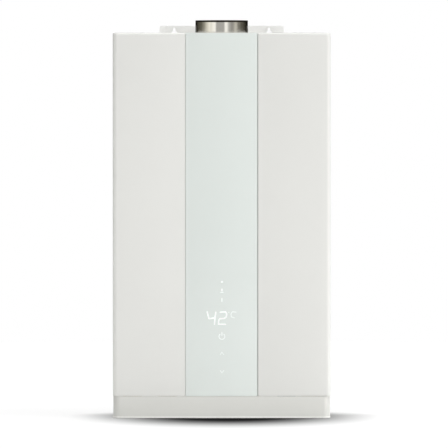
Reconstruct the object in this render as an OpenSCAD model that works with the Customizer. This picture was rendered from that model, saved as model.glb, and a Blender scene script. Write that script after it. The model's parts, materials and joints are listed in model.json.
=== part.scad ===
// Wall-hung instantaneous gas water heater with a glass touch front.
// Frame: +X to the right of someone facing the front, +Y towards the wall, +Z up.
// Origin: the middle of the footprint, on the surface that the skirt stands on.

/* [Casing] */
// Width of the casing, left to right
casing_w = 330; // [320:1:400]
// Height of the casing, from the foot of the skirt to the top of the cover
casing_h = 584; // [560:1:680]
// Depth from the face of the glass to the wall
casing_d = 150; // [140:1:190]
// Radius of the upright front corners
corner_r = 7; // [4:0.5:12]
// Thickness of the folded steel sheet
sheet_t = 1; // [0.8:0.1:1.5]
// Depth of the folded lips at the top and bottom of the cover
lip_d = 24; // [20:1:40]
// Clearance between the cover and the chassis
fit_gap = 0.5; // [0.3:0.1:1]
// Seam between the cover and the skirt
seam = 0.5; // [0.3:0.1:1.5]
// Height of the folded edges of the top and bottom plates
plate_fold = 22; // [16:1:30]
// Depth of the folded side edges of the rear chassis
chassis_fold = 26; // [18:1:40]

/* [Front glass] */
// Width of the glass strip
glass_w = 108; // [90:1:130]
// Thickness of the glass
glass_t = 4; // [3:0.5:6]
// Shadow gap on each side of the glass
reveal = 1.1; // [0.6:0.1:2]
// Chamfer along the upright edges of the glass
glass_chamfer = 0.6; // [0.2:0.1:1]
// Thickness of the bonding tape behind the glass
tape_t = 0.8; // [0.4:0.1:1.5]
// Width of the bonding tape
tape_w = 8; // [5:0.5:12]

/* [Display] */
// Width of the display housing
display_w = 51; // [50:1:60]
// Height of the display housing
display_h = 156; // [154:1:180]
// Height of the foot of the display housing above the underside of the bottom plate
display_lift = 25; // [24:1:60]
// Depth of the display housing behind the glass
display_d = 20; // [16:0.5:24]
// Wall of the display housing
display_wall = 1.6; // [1.2:0.1:2.5]
// Width of the flange that holds the display housing behind the cover
display_flange = 7; // [5:0.5:10]

/* [Skirt] */
// Height of the skirt
skirt_h = 33; // [30:1:45]
// Wall of the skirt
skirt_t = 2.5; // [2:0.1:4]
// Chamfer along the foot of the skirt
skirt_chamfer = 1.5; // [0.5:0.1:1.8]
// Diameter of the screw bosses of the skirt
boss_d = 10; // [8:0.5:14]

/* [Flue] */
// Outer diameter of the flue collar
flue_od = 80; // [60:1:86]
// Height of the flue collar above the top of the casing
flue_rise = 18; // [15:1:40]
// Wall of the flue collar
flue_t = 0.8; // [0.5:0.1:1.5]
// Width of the flange of the flue collar
flue_flange = 12; // [11:0.5:13]
// Thickness of the flange of the flue collar
flue_flange_t = 2; // [1:0.5:3]
// Thickness of the flue gasket
gasket_t = 1.5; // [1:0.5:3]

/* [Wall brackets] */
// Width of the upper wall bracket
bracket_w = 190; // [180:1:240]
// Height of the upper bracket above the casing
bracket_rise = 9; // [8:0.5:30]
// Length of the upper bracket behind the casing
bracket_drop = 40; // [30:1:80]
// Thickness of the wall brackets
bracket_t = 2; // [1.5:0.1:3]
// Distance between the two keyholes
keyhole_pitch = 145; // [130:1:160]
// Width of the slot of a keyhole
keyhole_slot = 4; // [3.5:0.1:5]
// Diameter of the entry hole of a keyhole
keyhole_head = 9; // [8:0.1:11]
// Height from the entry hole to the seat of the slot
keyhole_travel = 6.5; // [6:0.5:12]
// Wall above the seat of the slot
keyhole_wall = 3; // [2:0.5:6]
// Width of the lower wall bracket
lower_w = 120; // [110:1:160]
// Height of the lower wall bracket
lower_h = 62; // [55:1:80]
// Height of the foot of the lower bracket above the floor
lower_z = 10; // [6:1:12]
// Distance between the holes of the lower bracket
lower_pitch = 90; // [70:1:100]
// Diameter of the holes of the lower bracket
lower_hole = 6; // [4:0.5:8]
// Height of those holes above the foot of the bracket
lower_hole_rise = 10; // [8:0.5:14]

/* [Heat stack] */
// Free width on each side of the burner, exchanger and hood
side_zone = 63; // [60:0.5:66]
// Free depth in front of the stack, from the glass
front_zone = 31; // [31:0.5:36]
// Free depth behind the stack
rear_zone = 12; // [11:0.5:20]
// Sheet of the stack
stack_t = 1; // [0.6:0.1:1.5]
// Width of the flanges that join the stack
stack_flange = 8; // [8:0.5:9]
// Height of the exhaust hood
hood_h = 78; // [70:1:90]
// Height of the burner case
burner_h = 94; // [90:1:110]
// Distance from fin to fin
fin_pitch = 5; // [3:0.5:8]
// Thickness of a fin
fin_t = 0.6; // [0.3:0.1:1]
// Height of the fins
fin_h = 52; // [40:1:60]
// Room between the outer exchanger tubes and the shell
tube_margin = 4; // [3:0.5:6]

/* [Burner] */
// Number of burner bars
bar_count = 12; // [8:1:12]
// Thickness of a burner bar
bar_t = 8; // [6:0.5:10]
// Height of a burner bar
bar_h = 58; // [50:1:62]

/* [Blower] */
// Room between the fan's outlet and the side of the burner
outlet_margin = 5.5; // [4:0.5:10]
// Height of the fan axis above the bottom plate
blower_lift = 104; // [98:1:120]
// Room between the fan and the gas valve
valve_clear = 4.5; // [3:0.5:8]
// Length of the impeller
impeller_l = 42; // [30:1:44]
// Least gap between the impeller and the scroll
scroll_gap = 6; // [3:0.5:7]
// Growth of the scroll from the tongue to the outlet
scroll_growth = 21; // [15:1:24]
// Clear depth of the scroll
scroll_d = 50; // [48:1:54]
// Wall of the scroll
scroll_t = 1.5; // [1:0.1:2]
// Height of the outlet above the fan axis
outlet_h = 96; // [90:1:110]
// Number of impeller blades
blade_count = 30; // [16:1:36]
// Diameter of the motor
motor_d = 64; // [50:1:70]
// Length of the motor
motor_l = 37; // [28:1:40]
// Diameter of the motor shaft
shaft_d = 6; // [4:0.5:8]

/* [Pipes and fittings] */
// Major diameter of the half-inch pipe thread
thread_d = 20.955; // [16:0.005:26.5]
// Length of the pipe thread
thread_l = 16; // [12:0.5:18]
// Size across the flats of the fitting hexagons
hex_af = 26; // [24:1:32]
// Waterway of the fittings
fitting_bore = 14; // [10:0.5:15]
// Outer diameter of the copper pipes
pipe_d = 14; // [12:0.1:15]
// Wall of the copper pipes
pipe_t = 1; // [0.6:0.1:1.5]
// Bend radius of the copper pipes, at the middle of the pipe
bend_r = 14; // [10:0.5:14]
// Distance of the pipe fittings from the wall
fitting_to_wall = 55; // [50:1:60]

/* [Gas valve] */
// Distance from the hot outlet to the gas inlet
gas_spacing = 53; // [52:0.5:56]
// Width of the gas valve
valve_w = 70; // [60:1:72]
// Depth of the gas valve
valve_d = 60; // [50:1:64]
// Diameter of the valve coils
coil_d = 36; // [30:1:40]
// Room between the valve coils and the control box
coil_clear = 4; // [3:0.5:10]
// Diameter of the valve plungers
plunger_d = 10; // [6:0.5:12]
// Travel of the valve plungers
plunger_stroke = 2.5; // [1:0.1:4]

/* [Control box] */
// Height of the control box
control_h = 150; // [120:1:158]
// Depth of the control box
control_d = 26; // [20:0.5:27]
// Wall of the control box
control_wall = 2; // [1.5:0.1:3]

/* [Hidden] */
$fn = 48;
eps = 0.2;
// Clearance of a screw or a tube in its hole
hole_gap = 0.2;
// Running clearance of a shaft in its bearing, on the radius
run_gap = 0.05;
// Running clearance of the sliding plungers and knobs, on the radius
slide_gap = 0.1;

// Planes of the casing, front to back
y_front = -casing_d / 2;
y_wall = casing_d / 2;
y_rear = y_wall - bracket_t;
y_inner = y_rear - sheet_t;
y_glass_back = y_front + glass_t;
y_channel = y_glass_back + tape_t;
y_cover_in = y_channel + sheet_t;
y_plate = y_cover_in + fit_gap;

// Planes of the casing, bottom to top
z_cover = skirt_h + seam;
z_bottom = z_cover + sheet_t + fit_gap;
z_floor = z_bottom + sheet_t;
z_top = casing_h - sheet_t - fit_gap;
z_ceiling = z_top - sheet_t;

// Half widths
x_cover = casing_w / 2;
x_chassis = x_cover - sheet_t - fit_gap;
x_inside = x_chassis - sheet_t;
channel_w = glass_w + 2 * reveal;

// Screws: M4, with pan heads
screw_d = 4;
screw_head_d = 8;
screw_head_h = 2.4;
nut_d = 8;
nut_h = 3;
thread_gap = 0.02;

// Heat stack planes
stack_x = x_cover - side_zone;
stack_w = 2 * stack_x;
y_stack0 = y_front + front_zone;
y_stack1 = y_inner - rear_zone;
y_mid = (y_stack0 + y_stack1) / 2;
z_flue_flange = z_ceiling - flue_flange_t;
z_hood1 = z_flue_flange - gasket_t;
z_hood0 = z_hood1 - hood_h;
z_fan = z_floor + blower_lift;
z_burner0 = z_fan + outlet_h;
z_shell0 = z_burner0 + burner_h;
shell_h = z_hood0 - z_shell0;
neck_r = flue_od / 2 - flue_t;
flue_flange_r = flue_od / 2 + flue_flange;
flue_screw_in = 4.8;
flue_screw_r = flue_flange_r - flue_screw_in;
flue_screw_count = 4;
flue_screw_turn = 45;
flue_clear = 1.5;
thread_reach = 4;
stack_screw_in = 14;
stack_screw_ys = [y_stack0 + stack_screw_in, y_mid, y_stack1 - stack_screw_in];
flange_screw_x = stack_x + stack_flange / 2;

// Exchanger tubes, an odd number so that the water enters and leaves on opposite sides
tube_count = 5;
tube_pitch = (y_stack1 - y_stack0 - 2 * stack_t - pipe_d - 2 * tube_margin) / (tube_count - 1);
tube_stub = 6;
tube_drop = 35;
z_tube = z_hood0 - tube_drop;
tube_end_x = stack_x + tube_stub;
function tube_y(i) = y_mid + (i - (tube_count - 1) / 2) * tube_pitch;
bend_clear = 4;
pipe_x = tube_end_x + tube_pitch / 2 + pipe_d / 2 + bend_clear + pipe_d / 2;
gas_x = gas_spacing - pipe_x;

// Burner
rail_h = 6;
rail_in = 16;
rail_lift = 20;
z_rail = z_burner0 + rail_lift;
z_bar = z_rail + rail_h;
bar_side = 9;
bar_pitch = (stack_w - 2 * stack_t - 2 * bar_side) / bar_count;
bar_gap = 5;
nozzle_lift = 8;
z_nozzle = z_bar + nozzle_lift;
nozzle_d = 7;
nozzle_l = 8;
nozzle_reach = 4;
manifold_d = 12;
manifold_h = 18;
slot_margin = 10;
function bar_x(i) = (i - (bar_count - 1) / 2) * bar_pitch;

// Fan
scroll_front = 6;
y_scroll1 = y_stack1 - scroll_front;
y_scroll0 = y_scroll1 - scroll_d;
y_motor1 = y_scroll0 - scroll_t;
// The scroll fills the room from the gas valve to the outlet; a third of its growth lies on its left
outlet_x = stack_x - stack_t - outlet_margin;
fan_room = outlet_x - gas_x - valve_w / 2 - valve_clear;
impeller_d = fan_room - 2 * scroll_t - 2 * scroll_gap - scroll_growth * 4 / 3;
scroll_r0 = impeller_d / 2 + scroll_gap;
scroll_r1 = scroll_r0 + scroll_growth;
blower_x = outlet_x - scroll_t - scroll_r1;
outlet_share = 0.75;
outlet_w = outlet_share * scroll_r1;
tongue_x = scroll_r1 - outlet_w;
impeller_back = 4;
hub_d = 16;
hub_l = 16;
disc_t = 1.5;
inlet_lap = 8;
inlet_r = impeller_d / 2 - inlet_lap;
shaft_hole = 20;
press_gap = 0.04;

// Fittings
y_fit = y_wall - fitting_to_wall;
fitting_inset = 8;
hex_h = 8;
collar_t = 2;
collar_w = 2;
neck_d = 22;
z_thread1 = fitting_inset + thread_l;
neck_l = 17;
valve_lift = 25;
z_neck1 = z_bottom + neck_l;
z_valve = z_bottom + valve_lift;

// Flow sensor and drain
sensor_d = 32;
sensor_h = 60;
sensor_bore = 22;
turbine_vanes = 6;
axle_d = 2;
drain_offset = 37;
drain_x = pipe_x - drain_offset;
drain_w = 26;
drain_h = 16;
drain_boss = 16;
drain_way = 5;
drain_boss_x = pipe_x - drain_boss;
knob_d = 22;
knob_gap = 2;
knob_h = 15;
stem_d = 8;
stem_l = 10;
stem_clear = 2;

// Cord gland
gland_x = 56;
gland_back = 22;
gland_y = y_fit + gland_back;
gland_hole = 16;
gland_bore = 8;
gland_flange = 22;
gland_lip = 1;

// Control box, on a bracket that stands on the bottom plate
control_lift = 24;
control_side = 6;
control_room = 15;
control_front = 3.2;
z_control = z_floor + control_lift;
control_x0 = -x_inside + control_side;
control_x1 = -display_w / 2 - control_room;
y_control0 = y_cover_in + control_front;
y_control1 = y_control0 + control_d;

// Gas valve plungers
disc_seat = 15;
valve_disc_d = 16;
valve_disc_t = 3;
chamber_gap = 2;
chamber_l = 10;
chamber_d = valve_disc_d + 2 * chamber_gap;
valve_step = 14;
coil_rise = 4;
coil_gap = 1;
valve_roof = 7;
z_main = z_valve + coil_d / 2 + coil_rise;
z_proportional = z_main + coil_d + coil_gap;
z_valve1 = z_proportional + chamber_d / 2 + valve_roof + valve_step;
y_valve0 = y_fit - valve_d / 2;
coil_l = y_valve0 - y_control1 - sheet_t - coil_clear;
coil_end = 3;

// Electrodes and ignition
electrode_lift = 15;
electrode_x = 30;
z_electrode = z_shell0 + electrode_lift;
electrode_xs = [-electrode_x, electrode_x];
electrode_d = 2.5;
electrode_in = 26;
ceramic_out = 12;
ceramic_in = 6;
tip_l = 8;
y_tip = y_stack0 - ceramic_out - tip_l;
ceramic_d = 8;
ceramic_tip_d = 6;
boot_d = 11;
lead_d = 5;
spark_w = 24;
spark_d = 35;
spark_h = 60;

// Shared shapes

// A block between two opposite corners
module block(low, high) {
    translate(low) cube(high - low);
}

// A cylinder between two heights
module post(x, y, z0, z1, d) {
    translate([x, y, z0]) cylinder(d = d, h = z1 - z0);
}

// A cylinder along the depth
module bar_y(x, z, y0, y1, d) {
    translate([x, y1, z]) rotate([90, 0, 0]) cylinder(d = d, h = y1 - y0);
}

// A cylinder along the width
module bar_x_axis(y, z, x0, x1, d) {
    translate([x0, y, z]) rotate([0, 90, 0]) cylinder(d = d, h = x1 - x0);
}

// A rectangle from y0 to y1 with rounded front corners
module front_round(w, y0, y1, r) {
    translate([-w / 2 + r, y0]) square([w - 2 * r, y1 - y0]);
    translate([-w / 2, y0 + r]) square([w, y1 - y0 - r]);
    for (side = [-1, 1]) translate([side * (w / 2 - r), y0 + r]) circle(r);
}

// A pan-head screw that points up, with its head under z
module screw_up(x, y, z, l) {
    post(x, y, z - screw_head_h, z, screw_head_d);
    post(x, y, z - eps, z + l, screw_d);
}

// A pan-head screw that points down, with its head on z
module screw_down(x, y, z, l) {
    post(x, y, z, z + screw_head_h, screw_head_d);
    post(x, y, z - l, z + eps, screw_d);
}

// Clearance holes for screws along Z
module screw_hole(x, y, z0, z1) {
    post(x, y, z0, z1, screw_d + 2 * hole_gap);
}

// Pipe geometry: straight runs along the axes, joined by quarter bends
function way(a, b) = (b - a) / norm(b - a);

module along(origin, u) {
    e = abs(u[2]) > 0.5 ? [1, 0, 0] : [0, 0, 1];
    f = cross(u, e);
    multmatrix([
        [e[0], f[0], u[0], origin[0]],
        [e[1], f[1], u[1], origin[1]],
        [e[2], f[2], u[2], origin[2]]
    ]) children();
}

module quarter_bend(p, u, v, bend, d) {
    c = p - u * bend + v * bend;
    n = cross(u, v);
    multmatrix([
        [-v[0], u[0], n[0], c[0]],
        [-v[1], u[1], n[1], c[1]],
        [-v[2], u[2], n[2], c[2]]
    ]) rotate_extrude(angle = 90) translate([bend, 0]) circle(d = d);
}

module run(points, d, bend) {
    last = len(points) - 1;
    for (i = [0 : last - 1]) {
        u = way(points[i], points[i + 1]);
        start = points[i] + u * (i == 0 ? 0 : bend);
        stop = points[i + 1] - u * (i == last - 1 ? 0 : bend);
        along(start, u) cylinder(d = d, h = norm(stop - start));
    }
    for (i = [1 : last - 1])
        quarter_bend(points[i], way(points[i - 1], points[i]), way(points[i], points[i + 1]), bend, d);
}

module pipe(points, d, wall, bend) {
    difference() {
        run(points, d, bend);
        run(points, d - 2 * wall, bend);
    }
}

// A half-inch fitting that stands through the bottom plate
module fitting(x, z1) {
    difference() {
        union() {
            post(x, y_fit, fitting_inset, z_thread1 + eps, thread_d);
            post(x, y_fit, z_thread1, z_bottom, neck_d);
            translate([x, y_fit, z_thread1])
                cylinder(d = hex_af / cos(30), h = hex_h, $fn = 6);
            post(x, y_fit, z_bottom - collar_t, z_bottom, hex_af + 2 * collar_w);
            post(x, y_fit, z_bottom - eps, z1, neck_d);
        }
        post(x, y_fit, fitting_inset - eps, z1 + eps, fitting_bore);
    }
}

// Casing

module cover_outline() {
    difference() {
        front_round(casing_w, y_front, y_rear, corner_r);
        translate([-channel_w / 2, y_front - eps]) square([channel_w, y_channel - y_front + eps]);
    }
}

module cover_hollow() {
    w = casing_w - 2 * sheet_t;
    floor_w = channel_w + 2 * sheet_t;
    difference() {
        front_round(w, y_front + sheet_t, y_rear + eps, corner_r - sheet_t);
        translate([-floor_w / 2, y_front]) square([floor_w, y_cover_in - y_front]);
    }
}

cover_screw_in = 45;
cover_screw_back = 7;
cover_screw_x = x_cover - cover_screw_in;
cover_screw_y = y_plate + cover_screw_back;
fold_gap = 1;
front_fold = min(plate_fold, display_lift - display_flange - fold_gap);
cover_stud_z = z_bottom + (front_fold + sheet_t) / 2;
cover_stud_d = 6;
cover_stud_l = 12;

// Countersunk heads sit flush in the top lip
module countersink(x, gap) {
    translate([x, cover_screw_y, casing_h - screw_head_h])
        cylinder(d1 = screw_d + 2 * gap, d2 = screw_head_d + 2 * gap, h = screw_head_h);
}

module front_cover() color([0.89, 0.89, 0.875]) {
    difference() {
        union() {
            translate([0, 0, z_cover]) linear_extrude(casing_h - z_cover) difference() {
                cover_outline();
                cover_hollow();
            }
            for (z = [z_cover, casing_h - sheet_t])
                translate([0, 0, z]) linear_extrude(sheet_t) intersection() {
                    cover_outline();
                    translate([-casing_w / 2, y_front]) square([casing_w, lip_d]);
                }
        }
        block(
            [-display_w / 2 - fit_gap, y_channel - eps, z_display0 - fit_gap],
            [display_w / 2 + fit_gap, y_cover_in + eps, z_display1 + fit_gap]
        );
        for (side = [-1, 1]) countersink(side * cover_screw_x, hole_gap);
    }
}

module glass_panel() color([0.87, 0.895, 0.88]) {
    w = glass_w / 2;
    c = glass_chamfer;
    translate([0, 0, z_cover]) linear_extrude(casing_h - z_cover) polygon([
        [-w + c, y_front], [w - c, y_front], [w, y_front + c],
        [w, y_glass_back], [-w, y_glass_back], [-w, y_front + c]
    ]);
}

module glass_tape() color([0.2, 0.2, 0.2]) {
    inset = 2;
    x1 = glass_w / 2 - inset;
    z0 = z_cover + inset;
    z1 = casing_h - inset;
    for (side = [-1, 1]) {
        low = side < 0 ? -x1 : x1 - tape_w;
        block([low, y_glass_back, z0], [low + tape_w, y_channel, z1]);
    }
    for (z = [z0, z1 - tape_w])
        block([-x1 + tape_w + inset, y_glass_back, z], [x1 - tape_w - inset, y_channel, z + tape_w]);
}

// Heights of the lit signs above the foot of the display: three lamps, the digits and three keys
lamp_rises = [146, 133, 119];
digits_rise = 91;
key_rises = [64.5, 38.5, 10.5];
key_d = 12;
pad_w = 2;
lamp_d = 8;
board_t = 1.6;
board_gap = 0.4;
z_display0 = z_bottom + display_lift;
z_display1 = z_display0 + display_h;
board_back = 7;
y_board = y_glass_back + board_back;
y_display_back = y_glass_back + display_d;
guide_gap = 0.3;

module display_housing() color([0.93, 0.93, 0.92]) {
    x = display_w / 2;
    z0 = z_display0;
    z1 = z_display1;
    w = display_wall;
    f = display_flange;
    post_d = 5;
    inset = w + post_d / 2 + board_gap;
    difference() {
        union() {
            block([-x, y_glass_back, z0], [x, y_display_back, z1]);
            block([-x - f, y_cover_in, z0 - f], [x + f, y_cover_in + w, z1 + f]);
        }
        block([-x + w, y_glass_back - eps, z0 + w], [x - w, y_display_back - w, z1 - w]);
    }
    for (side = [-1, 1]) for (z = [z0 + inset, z1 - inset])
        bar_y(side * (x - inset), z, y_board + board_t, y_display_back - w + eps, post_d);
}

module display_board() color([0.1, 0.35, 0.2]) {
    margin = display_wall + board_gap;
    x = display_w / 2 - margin;
    z0 = z_display0 + margin;
    z1 = z_display1 - margin;
    chip = 10;
    chip_t = 2;
    z_chip = (z0 + z1) / 2;
    block([-x, y_board, z0], [x, y_board + board_t, z1]);
    block([-chip, y_board + board_t, z_chip - chip], [chip, y_board + board_t + chip_t, z_chip + chip]);
}

module display_light_guides() color([0.95, 0.95, 0.95]) {
    y0 = y_glass_back + guide_gap;
    digits_w = 46;
    digits_h = 24;
    z_digits = z_display0 + digits_rise;
    block([-digits_w / 2, y0, z_digits - digits_h / 2], [digits_w / 2, y_board, z_digits + digits_h / 2]);
    for (rise = lamp_rises) bar_y(0, z_display0 + rise, y0, y_board, lamp_d);
    for (rise = key_rises) bar_y(0, z_display0 + rise, y0, y_board, key_d);
}

module touch_pads() color([0.25, 0.25, 0.27]) {
    for (rise = key_rises) difference() {
        bar_y(0, z_display0 + rise, y_glass_back, y_board, key_d + 2 * pad_w);
        bar_y(0, z_display0 + rise, y_glass_back - eps, y_board + eps, key_d + 2 * hole_gap);
    }
}

module cover_screws() color([0.75, 0.75, 0.76]) {
    l = 11;
    z_nut = z_ceiling - fit_gap - nut_h;
    for (side = [-1, 1]) {
        x = side * cover_screw_x;
        countersink(x, 0);
        post(x, cover_screw_y, casing_h - l, casing_h - screw_head_h + eps, screw_d);
        difference() {
            translate([x, cover_screw_y, z_nut]) cylinder(d = nut_d, h = nut_h, $fn = 6);
            post(x, cover_screw_y, z_nut - eps, z_ceiling, screw_d + thread_gap);
        }
    }
}

module cover_studs() color([0.7, 0.7, 0.71]) {
    y0 = y_front + sheet_t;
    y1 = y_plate + cover_stud_l;
    for (side = [-1, 1]) bar_y(side * cover_screw_x, cover_stud_z, y0, y1, cover_stud_d);
}

// Room behind a keyhole for the head of the wall screw
module keyhole_room() {
    side_room = 3.5;
    w = keyhole_head + 2 * side_room;
    depth = 12;
    for (side = [-1, 1]) {
        x = side * keyhole_pitch / 2;
        block([x - w / 2, y_inner - depth, keyhole_z - w / 2], [x + w / 2, y_rear + eps, casing_h + eps]);
    }
}

keyhole_seat_z = casing_h + bracket_rise - keyhole_wall - keyhole_slot / 2;
keyhole_z = keyhole_seat_z - keyhole_travel;

module rear_chassis() color([0.82, 0.82, 0.81]) {
    difference() {
        union() {
            block([-x_chassis, y_inner, z_bottom], [x_chassis, y_rear, z_top]);
            for (side = [-1, 1]) {
                low = side < 0 ? -x_chassis : x_inside;
                block([low, y_inner - chassis_fold, z_bottom], [low + sheet_t, y_rear, z_top]);
            }
        }
        keyhole_room();
        rivet_holes();
    }
}

module plate_edges(z0, z1) {
    x = x_inside;
    block([-x, y_inner - sheet_t, z0], [x, y_inner, z1]);
    for (side = [-1, 1]) {
        low = side < 0 ? -x : x - sheet_t;
        block([low, y_plate, z0], [low + sheet_t, y_inner, z1]);
    }
}

module top_plate() color([0.88, 0.88, 0.87]) {
    slot_w = screw_head_d + 2 * hole_gap;
    difference() {
        union() {
            block([-x_inside, y_plate, z_ceiling], [x_inside, y_inner, z_top]);
            plate_edges(z_top - plate_fold, z_top);
        }
        post(0, y_mid, z_ceiling - eps, z_top + eps, flue_od + 2 * flue_clear);
        flue_screw_holes(z_ceiling - eps, z_top + eps);
        keyhole_room();
        for (side = [-1, 1]) {
            x = side * cover_screw_x;
            block(
                [x - slot_w / 2, y_plate - eps, z_ceiling - eps],
                [x + slot_w / 2, cover_screw_y, z_top + eps]
            );
            post(x, cover_screw_y, z_ceiling - eps, z_top + eps, slot_w);
        }
    }
}

air_slot_w = 4;
air_slot_l = 40;
air_slot_count = 9;
air_slot_pitch = 8;
air_slot_back = 14;

module bottom_plate() color([0.82, 0.82, 0.81]) {
    difference() {
        union() {
            block([-x_inside, y_plate, z_bottom], [x_inside, y_inner, z_floor]);
            plate_edges(z_bottom, z_bottom + plate_fold);
            block([-x_inside, y_plate, z_bottom], [x_inside, y_plate + sheet_t, z_bottom + front_fold]);
        }
        for (x = [-pipe_x, gas_x, pipe_x])
            post(x, y_fit, z_bottom - eps, z_floor + eps, neck_d + 2 * hole_gap);
        post(drain_x, y_fit, z_bottom - eps, z_floor + eps, stem_d + 2 * stem_clear);
        post(gland_x, gland_y, z_bottom - eps, z_floor + eps, gland_hole + 2 * hole_gap);
        for (p = skirt_bosses) screw_hole(p[0], p[1], z_bottom - eps, z_floor + eps);
        for (side = [-1, 1]) {
            x = side * cover_screw_x;
            bar_y(x, cover_stud_z, y_plate - eps, y_plate + sheet_t + eps, cover_stud_d + 2 * fit_gap);
        }
        for (i = [0 : air_slot_count - 1]) {
            x = (i - (air_slot_count - 1) / 2) * air_slot_pitch;
            y0 = y_plate + air_slot_back;
            block(
                [x - air_slot_w / 2, y0, z_bottom - eps],
                [x + air_slot_w / 2, y0 + air_slot_l, z_floor + eps]
            );
        }
    }
}

rivet_d = 4;
rivet_head_d = 8;
rivet_head_h = 1.6;
rivet_gap = 0.04;
rivet_edge = 12;
lower_rivet_edge = 10;
rivet_side = 15;
upper_rivet_x = bracket_w / 2 - rivet_side;
lower_rivet_x = lower_w / 2 - rivet_edge;
upper_rivets = [for (i = [-1, -1 / 3, 1 / 3, 1]) [i * upper_rivet_x, casing_h - bracket_drop + rivet_edge]];
lower_rivets = [for (i = [-1, 1]) [i * lower_rivet_x, lower_z + lower_h - lower_rivet_edge]];
rivet_places = concat(upper_rivets, lower_rivets);

module rivet_holes() {
    for (p = rivet_places) bar_y(p[0], p[1], y_inner - eps, y_wall + eps, rivet_d + rivet_gap);
}

module bracket_rivets() color([0.72, 0.72, 0.73]) {
    for (p = rivet_places) {
        bar_y(p[0], p[1], y_inner - rivet_head_h, y_inner, rivet_head_d);
        bar_y(p[0], p[1], y_inner - eps, y_wall, rivet_d);
    }
}

module wall_bracket() color([0.89, 0.89, 0.89]) {
    r = 3;
    z0 = casing_h - bracket_drop;
    z1 = casing_h + bracket_rise;
    difference() {
        union() {
            block([-bracket_w / 2, y_rear, z0], [bracket_w / 2, y_wall, z1 - r]);
            block([-bracket_w / 2 + r, y_rear, z0], [bracket_w / 2 - r, y_wall, z1]);
            for (side = [-1, 1]) bar_y(side * (bracket_w / 2 - r), z1 - r, y_rear, y_wall, 2 * r);
        }
        for (side = [-1, 1]) {
            x = side * keyhole_pitch / 2;
            bar_y(x, keyhole_z, y_rear - eps, y_wall + eps, keyhole_head);
            bar_y(x, keyhole_seat_z, y_rear - eps, y_wall + eps, keyhole_slot);
            block(
                [x - keyhole_slot / 2, y_rear - eps, keyhole_z],
                [x + keyhole_slot / 2, y_wall + eps, keyhole_seat_z]
            );
        }
        rivet_holes();
    }
}

module lower_bracket() color([0.84, 0.84, 0.83]) {
    difference() {
        block([-lower_w / 2, y_rear, lower_z], [lower_w / 2, y_wall, lower_z + lower_h]);
        for (side = [-1, 1])
            bar_y(side * lower_pitch / 2, lower_z + lower_hole_rise, y_rear - eps, y_wall + eps, lower_hole);
        rivet_holes();
    }
}

// Skirt

boss_room = 3;
boss_back = 16;
skirt_boss_x = x_cover - skirt_t - boss_d / 2 - boss_room;
skirt_boss_ys = [y_front + lip_d + boss_d, y_inner - boss_back];
skirt_bosses = [for (side = [-1, 1]) for (y = skirt_boss_ys) [side * skirt_boss_x, y]];
boss_z = 6;
rib_t = 3;

module skirt() color([0.82, 0.82, 0.80]) {
    w = casing_w - 2 * skirt_t;
    far = casing_w;
    difference() {
        union() {
            linear_extrude(skirt_h) difference() {
                front_round(casing_w, y_front, y_rear, corner_r);
                front_round(w, y_front + skirt_t, y_rear + eps, corner_r - skirt_t);
            }
            for (p = skirt_bosses) {
                side = sign(p[0]);
                post(p[0], p[1], boss_z, z_bottom, boss_d);
                outer = side * (x_cover - skirt_t / 2);
                block(
                    [min(p[0], outer), p[1] - rib_t / 2, boss_z],
                    [max(p[0], outer), p[1] + rib_t / 2, skirt_h]
                );
            }
        }
        for (p = skirt_bosses) screw_hole(p[0], p[1], boss_z - eps, z_bottom + eps);
        translate([-far, y_front, 0]) rotate([45, 0, 0])
            cube([2 * far, skirt_chamfer * sqrt(2), skirt_chamfer * sqrt(2)], center = false);
    }
}

module skirt_screws() color([0.72, 0.72, 0.73]) {
    for (p = skirt_bosses) screw_up(p[0], p[1], boss_z, z_floor - boss_z + thread_reach);
}

// Flue and heat stack

module flue_screw_holes(z0, z1) {
    for (i = [0 : flue_screw_count - 1]) {
        a = flue_screw_turn + i * 360 / flue_screw_count;
        screw_hole(flue_screw_r * cos(a), y_mid + flue_screw_r * sin(a), z0, z1);
    }
}

module flue_collar() color([0.66, 0.64, 0.60]) {
    difference() {
        union() {
            post(0, y_mid, z_flue_flange, z_ceiling, 2 * flue_flange_r);
            post(0, y_mid, z_ceiling - eps, casing_h + flue_rise, flue_od);
        }
        post(0, y_mid, z_flue_flange - eps, casing_h + flue_rise + eps, flue_od - 2 * flue_t);
        flue_screw_holes(z_flue_flange - eps, z_ceiling + eps);
    }
}

module flue_gasket() color([0.32, 0.31, 0.30]) {
    difference() {
        post(0, y_mid, z_hood1, z_flue_flange, 2 * flue_flange_r);
        post(0, y_mid, z_hood1 - eps, z_flue_flange + eps, 2 * neck_r);
        flue_screw_holes(z_hood1 - eps, z_flue_flange + eps);
    }
}

module flue_screws() color([0.74, 0.74, 0.75]) {
    l = z_top - z_hood1 + thread_reach;
    for (i = [0 : flue_screw_count - 1]) {
        a = flue_screw_turn + i * 360 / flue_screw_count;
        screw_down(flue_screw_r * cos(a), y_mid + flue_screw_r * sin(a), z_top, l);
    }
}

// A flat frame around the stack, between two heights, with its screw holes
module stack_frame(z0, z1) {
    f = stack_flange;
    difference() {
        block([-stack_x - f, y_stack0 - f, z0], [stack_x + f, y_stack1 + f, z1]);
        block([-stack_x, y_stack0, z0 - eps], [stack_x, y_stack1, z1 + eps]);
        for (side = [-1, 1]) for (y = stack_screw_ys)
            screw_hole(side * flange_screw_x, y, z0 - eps, z1 + eps);
    }
}

// Four walls of the stack, between two heights
module stack_walls(z0, z1) {
    t = stack_t;
    difference() {
        block([-stack_x, y_stack0, z0], [stack_x, y_stack1, z1]);
        block([-stack_x + t, y_stack0 + t, z0 - eps], [stack_x - t, y_stack1 - t, z1 + eps]);
    }
}

hood_side = 20;
hood_neck = 16;

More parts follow.
